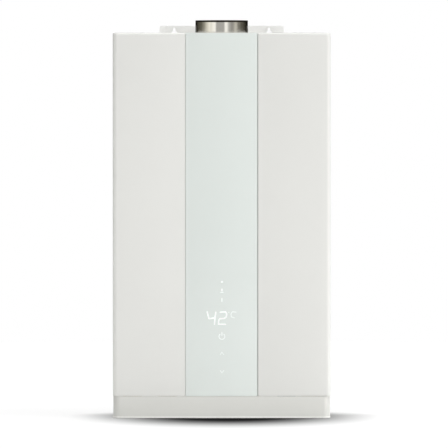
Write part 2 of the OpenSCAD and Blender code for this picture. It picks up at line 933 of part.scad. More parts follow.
// The hood's outline seen from the front, drawn in by its sheet
module hood_outline(t) {
    top = flue_flange_r;
    z1 = z_hood1 - hood_neck;
    polygon([
        [-stack_x + t, z_hood0], [stack_x - t, z_hood0], [stack_x - t, z_hood0 + hood_side - t / 2],
        [top - t / 2, z1 - t], [-top + t / 2, z1 - t], [-stack_x + t, z_hood0 + hood_side - t / 2]
    ]);
}

module exhaust_hood() color([0.70, 0.70, 0.69]) {
    t = stack_t;
    difference() {
        union() {
            translate([0, y_stack1, 0]) rotate([90, 0, 0])
                linear_extrude(y_stack1 - y_stack0) hood_outline(0);
            post(0, y_mid, z_hood1 - hood_neck - t, z_hood1, flue_od);
            post(0, y_mid, z_hood1 - t, z_hood1, 2 * flue_flange_r);
            stack_frame(z_hood0, z_hood0 + t);
        }
        translate([0, y_stack1 - t, -eps]) rotate([90, 0, 0])
            linear_extrude(y_stack1 - y_stack0 - 2 * t) hood_outline(t);
        post(0, y_mid, z_hood1 - hood_neck - 3 * t, z_hood1 + eps, 2 * neck_r);
        flue_screw_holes(z_hood1 - t - eps, z_hood1 + eps);
    }
}

module exchanger_shell() color([0.72, 0.45, 0.30]) {
    difference() {
        union() {
            stack_walls(z_shell0, z_hood0);
            stack_frame(z_shell0, z_shell0 + stack_t);
            stack_frame(z_hood0 - stack_t, z_hood0);
        }
        for (i = [0 : tube_count - 1])
            bar_x_axis(tube_y(i), z_tube, -stack_x - eps, stack_x + eps, pipe_d + 2 * hole_gap);
        for (x = electrode_xs)
            bar_y(x, z_electrode, y_stack0 - eps, y_stack0 + stack_t + eps, ceramic_d + 2 * hole_gap);
    }
}

module exchanger_fins() color([0.76, 0.48, 0.33]) {
    side_gap = 0.4;
    end_room = 4;
    margin = stack_t + side_gap;
    count = floor((stack_w - 2 * stack_t - 2 * end_room) / fin_pitch);
    for (i = [0 : count - 1]) {
        x = (i - (count - 1) / 2) * fin_pitch;
        difference() {
            block(
                [x - fin_t / 2, y_stack0 + margin, z_tube - fin_h / 2],
                [x + fin_t / 2, y_stack1 - margin, z_tube + fin_h / 2]
            );
            for (k = [0 : tube_count - 1])
                bar_x_axis(tube_y(k), z_tube, x - fin_t, x + fin_t, pipe_d + 2 * hole_gap);
        }
    }
}

// The serpentine of straight tubes and return bends
module serpentine(d) {
    for (i = [0 : tube_count - 1]) bar_x_axis(tube_y(i), z_tube, -tube_end_x, tube_end_x, d);
    for (i = [0 : tube_count - 2]) {
        side = i % 2 == 0 ? -1 : 1;
        translate([side * tube_end_x, (tube_y(i) + tube_y(i + 1)) / 2, z_tube])
            rotate([0, 0, side < 0 ? 90 : -90])
                rotate_extrude(angle = 180) translate([tube_pitch / 2, 0]) circle(d = d);
    }
}

module exchanger_tubes() color([0.74, 0.46, 0.31]) {
    difference() {
        serpentine(pipe_d);
        serpentine(pipe_d - 2 * pipe_t);
    }
}

module stack_brackets() color([0.70, 0.70, 0.69]) {
    x = 70;
    h = 30;
    t = stack_t;
    for (z = [z_shell0 + shell_h / 2, z_burner0 + burner_h / 2]) {
        block([-x, y_stack1, z - h / 2], [x, y_stack1 + t, z + h / 2]);
        block([-x, y_inner - t, z - h / 2], [x, y_inner, z + h / 2]);
        block([-x, y_stack1, z - t / 2], [x, y_inner, z + t / 2]);
    }
}

module stack_screws() color([0.74, 0.74, 0.75]) {
    l = 7;
    for (side = [-1, 1]) for (y = stack_screw_ys) {
        for (z = [z_hood0, z_shell0]) screw_down(side * flange_screw_x, y, z + stack_t, l);
    }
}

// Burner

module burner_case() color([0.68, 0.68, 0.67]) {
    t = stack_t;
    x0 = blower_x + tongue_x;
    x1 = blower_x + scroll_r1;
    slot_x = stack_x - slot_margin;
    difference() {
        union() {
            stack_walls(z_burner0, z_shell0);
            stack_frame(z_shell0 - t, z_shell0);
            block([-stack_x, y_stack0, z_burner0], [stack_x, y_stack1, z_burner0 + t]);
            for (y = [y_stack0 + rail_in, y_stack1 - rail_in])
                block(
                    [-stack_x + t / 2, y - rib_t / 2, z_burner0 + t / 2],
                    [stack_x - t / 2, y + rib_t / 2, z_bar]
                );
        }
        block([x0, y_scroll0, z_burner0 - eps], [x1, y_scroll1, z_burner0 + t + eps]);
        block(
            [-slot_x, y_stack0 - eps, z_nozzle - nozzle_d],
            [slot_x, y_stack0 + t + eps, z_nozzle + nozzle_d]
        );
    }
}

module burner_bars() color([0.62, 0.61, 0.60]) {
    port_w = 2;
    wall = 1;
    end_t = 3;
    head_h = 6;
    throat_gap = 0.5;
    y0 = y_stack0 + stack_t + bar_gap;
    y1 = y_stack1 - stack_t - bar_gap;
    for (i = [0 : bar_count - 1]) difference() {
        x = bar_x(i);
        block([x - bar_t / 2, y0, z_bar], [x + bar_t / 2, y1, z_bar + bar_h]);
        block(
            [x - bar_t / 2 + wall, y0 + end_t, z_bar + wall],
            [x + bar_t / 2 - wall, y1 - end_t, z_bar + bar_h - head_h]
        );
        bar_y(x, z_nozzle, y0 - eps, y0 + 2 * end_t, bar_t - 2 * wall - throat_gap);
        block(
            [x - port_w / 2, y0 + end_t + wall, z_bar + bar_h - head_h - wall],
            [x + port_w / 2, y1 - end_t - wall, z_bar + bar_h + eps]
        );
    }
}

y_manifold1 = y_stack0 - nozzle_l + nozzle_reach;
y_manifold0 = y_manifold1 - manifold_d;
manifold_x = stack_x - slot_margin / 2;

module gas_manifold() color([0.74, 0.74, 0.72]) {
    lug = slot_margin / 2;
    block(
        [-manifold_x, y_manifold0, z_nozzle - manifold_h / 2],
        [manifold_x, y_manifold1, z_nozzle + manifold_h / 2]
    );
    for (side = [-1, 1]) {
        low = side < 0 ? -manifold_x : manifold_x - lug;
        block(
            [low, y_manifold0, z_nozzle - manifold_h / 2],
            [low + lug, y_stack0, z_nozzle + manifold_h / 2]
        );
    }
}

module gas_nozzles() color([0.80, 0.66, 0.36]) {
    jet = 1.2;
    for (i = [0 : bar_count - 1]) difference() {
        bar_y(bar_x(i), z_nozzle, y_manifold1, y_manifold1 + nozzle_l, nozzle_d);
        bar_y(bar_x(i), z_nozzle, y_manifold1 - eps, y_manifold1 + nozzle_l + eps, jet);
    }
}

module electrode_insulators() color([0.93, 0.92, 0.88]) {
    flange_d = 14;
    flange_t = 3;
    rod_gap = 0.1;
    bore = electrode_d + rod_gap;
    for (x = electrode_xs) difference() {
        union() {
            bar_y(x, z_electrode, y_stack0 - ceramic_out, y_stack0 + ceramic_in, ceramic_d);
            bar_y(x, z_electrode, y_stack0 - flange_t, y_stack0, flange_d);
            bar_y(x, z_electrode, y_tip, y_stack0 - ceramic_out + eps, ceramic_tip_d);
        }
        bar_y(x, z_electrode, y_tip - eps, y_stack0 + ceramic_in + eps, bore);
    }
}

module electrode_rods() color([0.55, 0.54, 0.53]) {
    for (x = electrode_xs) bar_y(x, z_electrode, y_tip, y_stack0 + electrode_in, electrode_d);
}

spark_back = 4;
spark_lift = 6;
y_spark = y_stack0 + spark_back;
z_spark = z_burner0 + spark_lift;

module spark_module() color([0.16, 0.16, 0.17]) {
    rim = 4;
    dish = 2;
    difference() {
        block([stack_x, y_spark, z_spark], [stack_x + spark_w, y_spark + spark_d, z_spark + spark_h]);
        block(
            [stack_x + rim, y_spark + rim, z_spark + spark_h - dish],
            [stack_x + spark_w - rim, y_spark + spark_d - rim, z_spark + spark_h + eps]
        );
    }
}

boot_front = 6;
boot_back = 3;
lead_drop = 14;
lead_bend = 8;
lead_sink = 1;
y_lead = y_stack0 - ceramic_out - tip_l / 2;

module ignition_lead() color([0.72, 0.20, 0.16]) {
    x = stack_x + spark_w / 2;
    z = z_spark + spark_h - lead_drop;
    e = electrode_x;
    run([
        [x, y_spark, z], [x, y_lead, z],
        [x, y_lead, z_electrode], [e + boot_d / 2 - lead_sink, y_lead, z_electrode]
    ], lead_d, lead_bend);
    difference() {
        bar_y(e, z_electrode, y_lead - boot_front, y_lead + boot_back, boot_d);
        bar_y(e, z_electrode, y_tip - slide_gap, y_lead + boot_back + eps, ceramic_tip_d + 2 * hole_gap);
    }
}

// Fan

// The volute: a spiral that grows from the tongue to the outlet, seen from the front
module volute(grow) {
    steps = 36;
    turn = 270;
    r0 = scroll_r0 + grow;
    spiral = [for (i = [0 : steps]) let (a = turn * i / steps, r = r0 + scroll_growth * i / steps)
        [r * cos(90 + a), r * sin(90 + a)]];
    tongue = [tongue_x - grow, sqrt(pow(r0, 2) - pow(tongue_x - grow, 2))];
    polygon(concat(spiral, [[scroll_r1 + grow, outlet_h], [tongue_x - grow, outlet_h], tongue]));
}

module blower_shape(y0, y1, grow) {
    translate([blower_x, y1, z_fan]) rotate([90, 0, 0]) linear_extrude(y1 - y0) volute(grow);
}

module blower_scroll() color([0.66, 0.66, 0.65]) {
    difference() {
        blower_shape(y_scroll0, y_scroll1 + scroll_t, scroll_t);
        blower_shape(y_scroll0 - eps, y_scroll1, 0);
        block(
            [blower_x + tongue_x, y_scroll0 - eps, z_fan + outlet_h - 2 * scroll_t],
            [blower_x + scroll_r1, y_scroll1, z_fan + outlet_h + eps]
        );
        bar_y(blower_x, z_fan, y_scroll1 - eps, y_scroll1 + scroll_t + eps, 2 * inlet_r);
    }
}

module blower_front_plate() color([0.70, 0.70, 0.69]) {
    difference() {
        blower_shape(y_motor1, y_scroll0, scroll_t);
        bar_y(blower_x, z_fan, y_motor1 - eps, y_scroll0 + eps, shaft_hole);
    }
}

y_impeller0 = y_scroll0 + impeller_back;
y_impeller1 = y_impeller0 + impeller_l;

module impeller() color([0.74, 0.74, 0.73]) {
    r1 = impeller_d / 2;
    y_blade = (y_impeller0 + y_impeller1) / 2;
    blade_w = 12;
    blade_t = 0.8;
    blade_in = 1;
    blade_turn = 28;
    ring_w = 3;
    difference() {
        union() {
            bar_y(blower_x, z_fan, y_impeller0, y_impeller0 + disc_t, impeller_d);
            bar_y(blower_x, z_fan, y_impeller0, y_impeller0 + hub_l, hub_d);
            difference() {
                bar_y(blower_x, z_fan, y_impeller1 - ring_w, y_impeller1, impeller_d);
                bar_y(blower_x, z_fan, y_impeller1 - ring_w - eps, y_impeller1 + eps, 2 * (r1 - ring_w));
            }
            for (i = [0 : blade_count - 1])
                translate([blower_x, 0, z_fan]) rotate([0, i * 360 / blade_count, 0])
                    translate([r1 - blade_w / 2 - blade_in, y_blade, 0]) rotate([0, blade_turn, 0])
                        cube([blade_w, impeller_l - disc_t / 2, blade_t], center = true);
        }
        bar_y(blower_x, z_fan, y_impeller0 - eps, y_impeller0 + hub_l + eps, shaft_d + press_gap);
    }
}

motor_end = 6;
y_shaft0 = y_motor1 - motor_l + motor_end;

module motor_shaft() color([0.70, 0.70, 0.72]) {
    bar_y(blower_x, z_fan, y_shaft0, y_impeller0 + hub_l, shaft_d);
}

motor_plug_out = 4;
motor_plug_x = blower_x - motor_d / 2 - motor_plug_out;
y_motor_plug = y_motor1 - motor_l / 2;

module fan_motor() color([0.22, 0.22, 0.24]) {
    y0 = y_motor1 - motor_l;
    cap_l = 8;
    ear_t = 3;
    ear_w = 7;
    plug = 14;
    cap_in = 5;
    end_gap = 1;
    ear_d = motor_d + 2 * ear_w;
    difference() {
        union() {
            bar_y(blower_x, z_fan, y0 + cap_l, y_motor1, motor_d);
            bar_y(blower_x, z_fan, y0, y0 + cap_l + eps, motor_d - 2 * cap_in);
            bar_y(blower_x, z_fan, y_motor1 - ear_t, y_motor1, ear_d);
            block(
                [motor_plug_x, y_motor_plug - plug / 2, z_fan - plug / 2],
                [motor_plug_x + 2 * motor_plug_out, y_motor_plug + plug / 2, z_fan + plug / 2]
            );
        }
        bar_y(blower_x, z_fan, y_shaft0 - end_gap, y_motor1 + eps, shaft_d + 2 * run_gap);
    }
}

module motor_lead() color([0.15, 0.15, 0.15]) {
    bend = 6;
    slack = 1;
    x = control_x1 + bend + slack;
    y1 = (y_control0 + y_control1) / 2;
    run([
        [motor_plug_x, y_motor_plug, z_fan], [x, y_motor_plug, z_fan],
        [x, y1, z_fan], [control_x1, y1, z_fan]
    ], lead_d, bend);
}

// Gas

module gas_inlet() color([0.80, 0.66, 0.36]) fitting(gas_x, z_valve);

// A plunger chamber, open at the front, with the seat that the disc closes
module plunger_chamber(z) {
    y1 = y_valve0 + disc_seat;
    bar_y(gas_x, z, y_valve0 - eps, y1, chamber_d);
    bar_y(gas_x, z, y1 - eps, y1 + chamber_l, plunger_d);
}

module gas_valve_body() color([0.74, 0.74, 0.73]) {
    w = valve_w / 2;
    z1 = z_valve1;
    inset = 8;
    port_l = 10;
    difference() {
        union() {
            block([gas_x - w, y_valve0, z_valve], [gas_x + w, y_valve0 + valve_d, z1 - valve_step]);
            block(
                [gas_x - w + inset, y_valve0 + inset, z1 - valve_step - eps],
                [gas_x + w - inset, y_valve0 + valve_d - inset, z1]
            );
        }
        plunger_chamber(z_main);
        plunger_chamber(z_proportional);
        post(gas_x, y_fit, z_valve - eps, z_valve + port_l, fitting_bore);
        post(gas_x, y_fit, z1 - port_l, z1 + eps, pipe_d - 2 * pipe_t);
    }
}

module coil(z) {
    difference() {
        bar_y(gas_x, z, y_valve0 - coil_l, y_valve0, coil_d);
        bar_y(gas_x, z, y_valve0 - coil_l + coil_end, y_valve0 + eps, plunger_d + 2 * slide_gap);
    }
}

module main_coil() color([0.10, 0.10, 0.11]) coil(z_main);
module proportional_coil() color([0.55, 0.16, 0.13]) coil(z_proportional);

module plunger(z) {
    rest_gap = 0.1;
    end_gap = 1;
    y1 = y_valve0 + disc_seat - rest_gap;
    y0 = y_valve0 - coil_l + coil_end + plunger_stroke + end_gap;
    bar_y(gas_x, z, y0, y1 - valve_disc_t + eps, plunger_d);
    bar_y(gas_x, z, y1 - valve_disc_t, y1, valve_disc_d);
}

module main_plunger() color([0.65, 0.65, 0.66]) plunger(z_main);
module proportional_plunger() color([0.65, 0.65, 0.66]) plunger(z_proportional);

gas_cross_gap = 1.5;
z_gas_cross = z_burner0 - pipe_d / 2 - gas_cross_gap;

module gas_pipe() color([0.74, 0.46, 0.31]) {
    y1 = (y_manifold0 + y_manifold1) / 2;
    pipe([
        [gas_x, y_fit, z_valve1], [gas_x, y_fit, z_gas_cross],
        [gas_x, y1, z_gas_cross], [gas_x, y1, z_nozzle - manifold_h / 2]
    ], pipe_d, pipe_t, bend_r);
}

// Water

module cold_inlet() color([0.80, 0.66, 0.36]) {
    difference() {
        union() {
            fitting(pipe_x, z_neck1);
            difference() {
                block(
                    [drain_boss_x, y_fit - drain_boss / 2, z_floor + 1],
                    [pipe_x, y_fit + drain_boss / 2, z_floor + drain_h - 1]
                );
                post(pipe_x, y_fit, z_floor, z_floor + drain_h, fitting_bore + 2);
            }
        }
        bar_x_axis(y_fit, z_floor + drain_h / 2, drain_boss_x - eps, pipe_x, drain_way);
    }
}

module flow_sensor_body() color([0.17, 0.17, 0.18]) {
    z1 = z_neck1 + sensor_h;
    spider = 3;
    spider_in = 13;
    spider_hub = 6;
    end_t = 6;
    z_spiders = [z_neck1 + spider_in, z1 - spider_in - spider];
    difference() {
        post(pipe_x, y_fit, z_neck1, z1, sensor_d);
        post(pipe_x, y_fit, z_neck1 + end_t, z1 - end_t, sensor_bore);
        post(pipe_x, y_fit, z_neck1 - eps, z1 + eps, pipe_d - 2 * pipe_t);
    }
    for (z = z_spiders) difference() {
        union() {
            block(
                [pipe_x - sensor_bore / 2 - 1, y_fit - spider / 2, z],
                [pipe_x + sensor_bore / 2 + 1, y_fit + spider / 2, z + spider]
            );
            post(pipe_x, y_fit, z, z + spider, spider_hub);
        }
        post(pipe_x, y_fit, z - eps, z + spider + eps, axle_d + 2 * run_gap);
    }
    hall = 14;
    hall_out = 6;
    hall_in = 3;
    block(
        [pipe_x - hall / 2, y_fit - sensor_d / 2 - hall_out, z_neck1 + sensor_h / 2 - hall / 2],
        [pipe_x + hall / 2, y_fit - sensor_d / 2 + hall_in, z_neck1 + sensor_h / 2 + hall / 2]
    );
}

module flow_turbine() color([0.85, 0.85, 0.84]) {
    z_mid = z_neck1 + sensor_h / 2;
    l = 24;
    axle_out = 6;
    turbine_hub = 7;
    vane_t = 1;
    vane_l = 16;
    vane_turn = 30;
    tip = sensor_bore / 2 - 1;
    post(pipe_x, y_fit, z_mid - l / 2 - axle_out, z_mid + l / 2 + axle_out, axle_d);
    post(pipe_x, y_fit, z_mid - l / 2, z_mid + l / 2, turbine_hub);
    for (i = [0 : turbine_vanes - 1])
        translate([pipe_x, y_fit, z_mid]) rotate([0, 0, i * 360 / turbine_vanes])
            translate([tip / 2, 0, 0]) rotate([vane_turn, 0, 0])
                cube([tip - 1, vane_t, vane_l], center = true);
}

cold_drop = 30;
cold_turn_z = z_shell0 - cold_drop;

module cold_pipe() color([0.74, 0.46, 0.31]) {
    y1 = tube_y(0);
    pipe([
        [pipe_x, y_fit, z_neck1 + sensor_h], [pipe_x, y_fit, cold_turn_z],
        [pipe_x, y1, cold_turn_z], [pipe_x, y1, z_tube], [tube_end_x, y1, z_tube]
    ], pipe_d, pipe_t, min(bend_r, abs(y_fit - y1) / 2));
}

hot_rise = 70;
hot_turn_z = z_neck1 + hot_rise;

module hot_pipe() color([0.74, 0.46, 0.31]) {
    y1 = tube_y(tube_count - 1);
    pipe([
        [-tube_end_x, y1, z_tube], [-pipe_x, y1, z_tube], [-pipe_x, y1, hot_turn_z],
        [-pipe_x, y_fit, hot_turn_z], [-pipe_x, y_fit, z_neck1]
    ], pipe_d, pipe_t, min(bend_r, abs(y_fit - y1) / 2));
}

module hot_outlet() color([0.80, 0.66, 0.36]) fitting(-pipe_x, z_neck1);

module drain_valve_body() color([0.80, 0.66, 0.36]) {
    drain_d = 20;
    spout_d = 10;
    end_gap = 2;
    difference() {
        union() {
            block(
                [drain_x - drain_w / 2, y_fit - drain_d / 2, z_floor],
                [drain_x + drain_w / 2, y_fit + drain_d / 2, z_floor + drain_h]
            );
            bar_x_axis(y_fit, z_floor + drain_h / 2, drain_x, drain_boss_x, spout_d);
        }
        post(drain_x, y_fit, z_floor - eps, z_floor + stem_l + end_gap, stem_d + 2 * slide_gap);
        bar_x_axis(y_fit, z_floor + drain_h / 2 + 1, drain_x, drain_boss_x + eps, drain_way);
    }
}

module drain_knob() color([0.12, 0.30, 0.62]) {
    z1 = z_bottom - knob_gap;
    z0 = z1 - knob_h;
    wing_t = 5;
    wing_out = 3;
    disc_h = 5;
    wing_l = knob_d + 2 * wing_out;
    post(drain_x, y_fit, z1 - disc_h, z1, knob_d);
    block([drain_x - wing_l / 2, y_fit - wing_t / 2, z0], [drain_x + wing_l / 2, y_fit + wing_t / 2, z1 - 1]);
    post(drain_x, y_fit, z1 - eps, z_floor + stem_l, stem_d);
}

// Controls

module control_box() color([0.90, 0.90, 0.88]) {
    w = control_wall;
    z1 = z_control + control_h;
    difference() {
        block([control_x0, y_control0, z_control], [control_x1, y_control1, z1]);
        block([control_x0 + w, y_control0 - eps, z_control + w], [control_x1 - w, y_control1 - w, z1 - w]);
    }
}

module control_board() color([0.08, 0.36, 0.20]) {
    w = control_wall;
    gap = board_gap;
    x0 = control_x0 + w + gap;
    x1 = control_x1 - w - gap;
    z0 = z_control + w + gap;
    z1 = z_control + control_h - w - gap;
    y1 = y_control1 - w;
    carrier = 6;
    y0 = y1 - carrier;
    block([x0, y0, z0], [x1, y1, z1]);
    edge = 8;
    // Transformer, in the upper left corner
    core = 34;
    core_d = 15;
    block([x0 + edge, y0 - core_d, z1 - edge - core], [x0 + edge + core, y0, z1 - edge]);
    // Relays, in the upper right corner
    relay = [12, 12, 22];
    relay_pitch = 16;
    for (i = [1 : 3]) {
        x = x1 - edge / 2 - i * relay_pitch;
        block([x, y0 - relay[1], z1 - edge - relay[2]], [x + relay[0], y0, z1 - edge]);
    }
    // Plugs, along the foot
    plugs = 5;
    plug = [14, 9, 10];
    plug_pitch = (x1 - x0 - edge) / plugs;
    for (i = [0 : plugs - 1]) {
        x = x0 + edge + i * plug_pitch;
        block([x, y0 - plug[1], z0 + edge / 2], [x + plug[0], y0, z0 + edge / 2 + plug[2]]);
    }
    // Capacitors and the main chip
    can_d = 12;
    can_h = 14;
    can_pitch = 18;
    chip = 20;
    chip_t = 3;
    row_rise = 44;
    z_row = z0 + row_rise;
    for (i = [0 : 2]) bar_y(x0 + 2 * edge + i * can_pitch, z_row, y0 - can_h, y0, can_d);
    block([x1 - edge - chip, y0 - chip_t, z_row - chip / 2], [x1 - edge, y0, z_row + chip / 2]);
}

module control_bracket() color([0.72, 0.72, 0.71]) {
    foot = 18;
    inset = 7;
    x0 = control_x0 + inset;
    x1 = control_x1 - inset;
    block([x0, y_control1, z_floor], [x1, y_control1 + sheet_t, z_control + control_h]);
    block([x0, y_control1, z_floor], [x1, y_control1 + foot, z_floor + sheet_t]);
}

module overheat_cutout() color([0.20, 0.20, 0.21]) {
    lift = 62;
    d = 18;
    body_l = 9;
    foot_t = 2;
    foot_w = 30;
    foot_h = 10;
    tab_l = 9;
    tab_t = 1;
    tab_h = 6;
    tab_y = 4;
    tab_x = stack_x + body_l - 1;
    z = z_shell0 + lift;
    bar_x_axis(y_mid, z, -stack_x - body_l, -stack_x, d);
    block(
        [-stack_x - foot_t, y_mid - foot_w / 2, z - foot_h / 2],
        [-stack_x, y_mid + foot_w / 2, z + foot_h / 2]
    );
    for (side = [-1, 1]) {
        y = y_mid + side * tab_y;
        block([-tab_x - tab_l, y - tab_t / 2, z - tab_h / 2], [-tab_x, y + tab_t / 2, z + tab_h / 2]);
    }
}

module cord_gland() color([0.12, 0.12, 0.12]) {
    t = 3;
    difference() {
        union() {
            post(gland_x, gland_y, z_bottom - t, z_bottom, gland_flange);
            post(gland_x, gland_y, z_bottom - t, z_floor + t, gland_hole);
            post(gland_x, gland_y, z_floor, z_floor + t, gland_flange - 2 * gland_lip);
        }
        post(gland_x, gland_y, z_bottom - t - eps, z_floor + t + eps, gland_bore);
    }
}

front_cover();
glass_panel();
glass_tape();
display_housing();
display_board();
display_light_guides();
touch_pads();
cover_screws();
cover_studs();
rear_chassis();
top_plate();
bottom_plate();
wall_bracket();
lower_bracket();
bracket_rivets();
skirt();
skirt_screws();
flue_collar();
flue_gasket();
flue_screws();
exhaust_hood();
exchanger_shell();
exchanger_fins();
exchanger_tubes();
stack_brackets();
stack_screws();
burner_case();
burner_bars();
gas_manifold();
gas_nozzles();
electrode_insulators();
electrode_rods();
spark_module();
ignition_lead();
blower_scroll();
blower_front_plate();
impeller();
motor_shaft();
fan_motor();
motor_lead();
gas_inlet();
gas_valve_body();
main_coil();
proportional_coil();
main_plunger();
proportional_plunger();
gas_pipe();
cold_inlet();
flow_sensor_body();
flow_turbine();
cold_pipe();
hot_pipe();
hot_outlet();
drain_valve_body();
drain_knob();
control_box();
control_board();
control_bracket();
overheat_cutout();
cord_gland();
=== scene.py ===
"""A wall-hung gas water heater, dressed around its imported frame."""
import json
from math import acos, atan2, cos, degrees, pi, radians, sin, tan

import bmesh
import bpy
from mathutils import Matrix, Vector

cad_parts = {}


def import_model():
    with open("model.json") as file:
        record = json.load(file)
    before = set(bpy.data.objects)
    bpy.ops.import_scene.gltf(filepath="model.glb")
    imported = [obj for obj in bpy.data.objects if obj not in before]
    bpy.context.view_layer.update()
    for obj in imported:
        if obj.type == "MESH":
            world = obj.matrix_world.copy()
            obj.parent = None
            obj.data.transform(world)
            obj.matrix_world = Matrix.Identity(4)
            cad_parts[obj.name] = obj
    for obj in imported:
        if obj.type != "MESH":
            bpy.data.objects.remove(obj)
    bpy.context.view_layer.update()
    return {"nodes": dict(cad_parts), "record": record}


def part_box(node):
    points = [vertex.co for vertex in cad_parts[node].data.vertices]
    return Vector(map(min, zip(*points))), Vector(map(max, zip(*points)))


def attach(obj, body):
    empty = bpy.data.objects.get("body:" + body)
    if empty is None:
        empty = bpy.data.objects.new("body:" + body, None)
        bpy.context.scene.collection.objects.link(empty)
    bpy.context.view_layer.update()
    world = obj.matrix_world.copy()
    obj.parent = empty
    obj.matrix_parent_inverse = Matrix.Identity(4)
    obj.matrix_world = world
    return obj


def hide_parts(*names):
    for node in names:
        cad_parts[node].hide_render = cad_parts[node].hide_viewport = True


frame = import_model()
scene = bpy.context.scene
nodes = frame["nodes"]
slot_of = {part["node"]: part["material_slot"] for part in frame["record"]["subparts"]}

# Shapes are written in millimetres, as the solids are
MM = 0.001
MICRON = 0.001 * MM

# x runs to the right, y to the rear and z up
UP, RIGHT, LEFT = (0, 0, 1), (1, 0, 0), (-1, 0, 0)
AHEAD, REARWARD = (0, -1, 0), (0, 1, 0)


def low(node):
    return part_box(node)[0] / MM


def high(node):
    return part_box(node)[1] / MM


def middle(node):
    return (low(node) + high(node)) / 2


# Main sizes, from the frame
HALF_W = high("front_cover").x
FRONT = low("glass_panel").y
REAR = high("front_cover").y
COVER_FOOT = low("front_cover").z
TOP = high("front_cover").z
PLATE_FOOT = low("bottom_plate").z
PLATE_TOP = high("top_plate").z
SHEET = 1.0
CORNER = 7.0
SKIRT_CORNER = 12.0
KEYHOLE_X = 72.5
KEYHOLE_HALF = 8.0


# Shapes

def arc(centre, radius, start, end, steps):
    """Points on an arc, with its angles in degrees."""
    angles = [radians(start + (end - start) * i / steps) for i in range(steps + 1)]
    return [(centre[0] + radius * cos(a), centre[1] + radius * sin(a)) for a in angles]


def turns(count):
    """Angles that share out a full turn."""
    return [2 * pi * i / count for i in range(count)]


def fillet(corners, steps=6):
    """An outline through (x, y, radius) corners, with steps + 1 points round each."""
    points = []
    last = len(corners) - 1
    for i, (x, y, radius) in enumerate(corners):
        here = Vector((x, y))
        if radius <= 0 or i in (0, last):
            points.append((x, y))
            continue
        back = (Vector(corners[i - 1][:2]) - here).normalized()
        on = (Vector(corners[i + 1][:2]) - here).normalized()
        half = acos(max(-1.0, min(1.0, back.dot(on)))) / 2
        reach = radius / tan(half)
        centre = here + (back + on).normalized() * (radius / sin(half))
        first = here + back * reach - centre
        turn = first.angle_signed(here + on * reach - centre)
        rotations = [Matrix.Rotation(-turn * k / steps, 2) for k in range(steps + 1)]
        points += [tuple(centre + rotation @ first) for rotation in rotations]
    return points


def loop_fillet(corners, steps):
    """A closed outline through (x, y, radius) corners."""
    return fillet([corners[-1], *corners, corners[0]], steps)[1:-1]


def loft(shape, rings, around=True, caps=True):
    """Skin a row of rings. Rings that don't go around have no caps."""
    rows = [[shape.verts.new(p) for p in ring] for ring in rings]
    count = len(rows[0])
    for a, b in zip(rows, rows[1:]):
        for i in range(count if around else count - 1):
            j = (i + 1) % count
            shape.faces.new((a[i], a[j], b[j], b[i]))
    if around and caps:
        shape.faces.new(rows[0][::-1])
        shape.faces.new(rows[-1])
    return rows


def cut(shape, inside):
    """Take out the faces whose middle passes a test."""
    hole = [face for face in shape.faces if inside(face.calc_center_median())]
    bmesh.ops.delete(shape, geom=hole, context="FACES")


def basis(axis):
    """Two directions square to an axis."""
    axis = Vector(axis).normalized()
    side = axis.orthogonal().normalized()
    return side, axis.cross(side)


def spin(shape, centre, axis, angles, rows, caps=True):
    """Skin rings about an axis. Each row has a radius for every angle, and a height."""
    u, v = basis(axis)
    w = Vector(axis).normalized()
    spokes = [u * cos(a) + v * sin(a) for a in angles]
    rings = [[Vector(centre) + w * up + out * r for out, r in zip(spokes, reach)] for reach, up in rows]
    loft(shape, rings, True, caps)


def lathe(shape, profile, centre, axis=UP, sides=64, hollow=False):
    """Turn (radius, height) points about an axis. A hollow profile is a ring in section."""
    spots = profile + profile[:1] if hollow else profile
    spin(shape, centre, axis, turns(sides), [([r] * sides, up) for r, up in spots], not hollow)


def tube(shape, points, radius, sides):
    """A round wire along a path, with flat ends."""
    path = [Vector(p) for p in points]
    u = basis(path[1] - path[0])[0]
    rings = []
    for i, here in enumerate(path):
        ahead = (path[min(i + 1, len(path) - 1)] - path[max(i - 1, 0)]).normalized()
        u = (u - ahead * u.dot(ahead)).normalized()
        v = ahead.cross(u)
        rings.append([here + (u * cos(a) + v * sin(a)) * radius for a in turns(sides)])
    loft(shape, rings)


def bent(points, radius, steps=6):
    """A path in space with its corners rounded."""
    longest = 0.49
    points = [Vector(p) for p in points]
    path = points[:1]
    for a, b, c in zip(points, points[1:], points[2:]):
        reach = min(radius, (a - b).length * longest, (c - b).length * longest)
        start = b + (a - b).normalized() * reach
        stop = b + (c - b).normalized() * reach
        for k in range(steps + 1):
            t = k / steps
            path.append(start * (1 - t) ** 2 + b * 2 * t * (1 - t) + stop * t ** 2)
    return path + points[-1:]


def block(shape, lowest, highest, edge=0.3, segments=2):
    """A block with rounded edges, between two corners."""
    size = Vector(highest) - Vector(lowest)
    centre = (Vector(highest) + Vector(lowest)) / 2
    fit = Matrix.Translation(centre) @ Matrix.Diagonal((*size, 1))
    made = bmesh.ops.create_cube(shape, size=1, matrix=fit)
    edges = list({e for v in made["verts"] for e in v.link_edges})
    bmesh.ops.bevel(shape, geom=edges, offset=edge, segments=segments, profile=0.5, affect="EDGES")


def cross_head(shape, centre, axis, radius, height):
    """A domed screw head with a cross recess."""
    arm, half, taper, floor = radius * 0.52, radius * 0.13, 0.8, height * 0.35
    corner = degrees(atan2(half, arm))
    angles = [quarter * 90 + b for quarter in range(4) for b in (-45, -28, -corner, 0, corner, 28)]
    cross = []
    for angle in angles:
        b = radians(abs((angle + 45) % 90 - 45))
        cross.append(arm / cos(b) if b <= radians(corner) + 1e-6 else half / sin(b))
    dome = ((1.0, 0.0), (1.0, 0.35), (0.95, 0.65), (0.82, 0.88), (0.66, 1.0))
    rows = [([radius * share] * len(angles), height * up) for share, up in dome]
    rows += [(cross, height), ([r * taper for r in cross], floor)]
    spin(shape, centre, axis, [radians(a) for a in angles], rows)


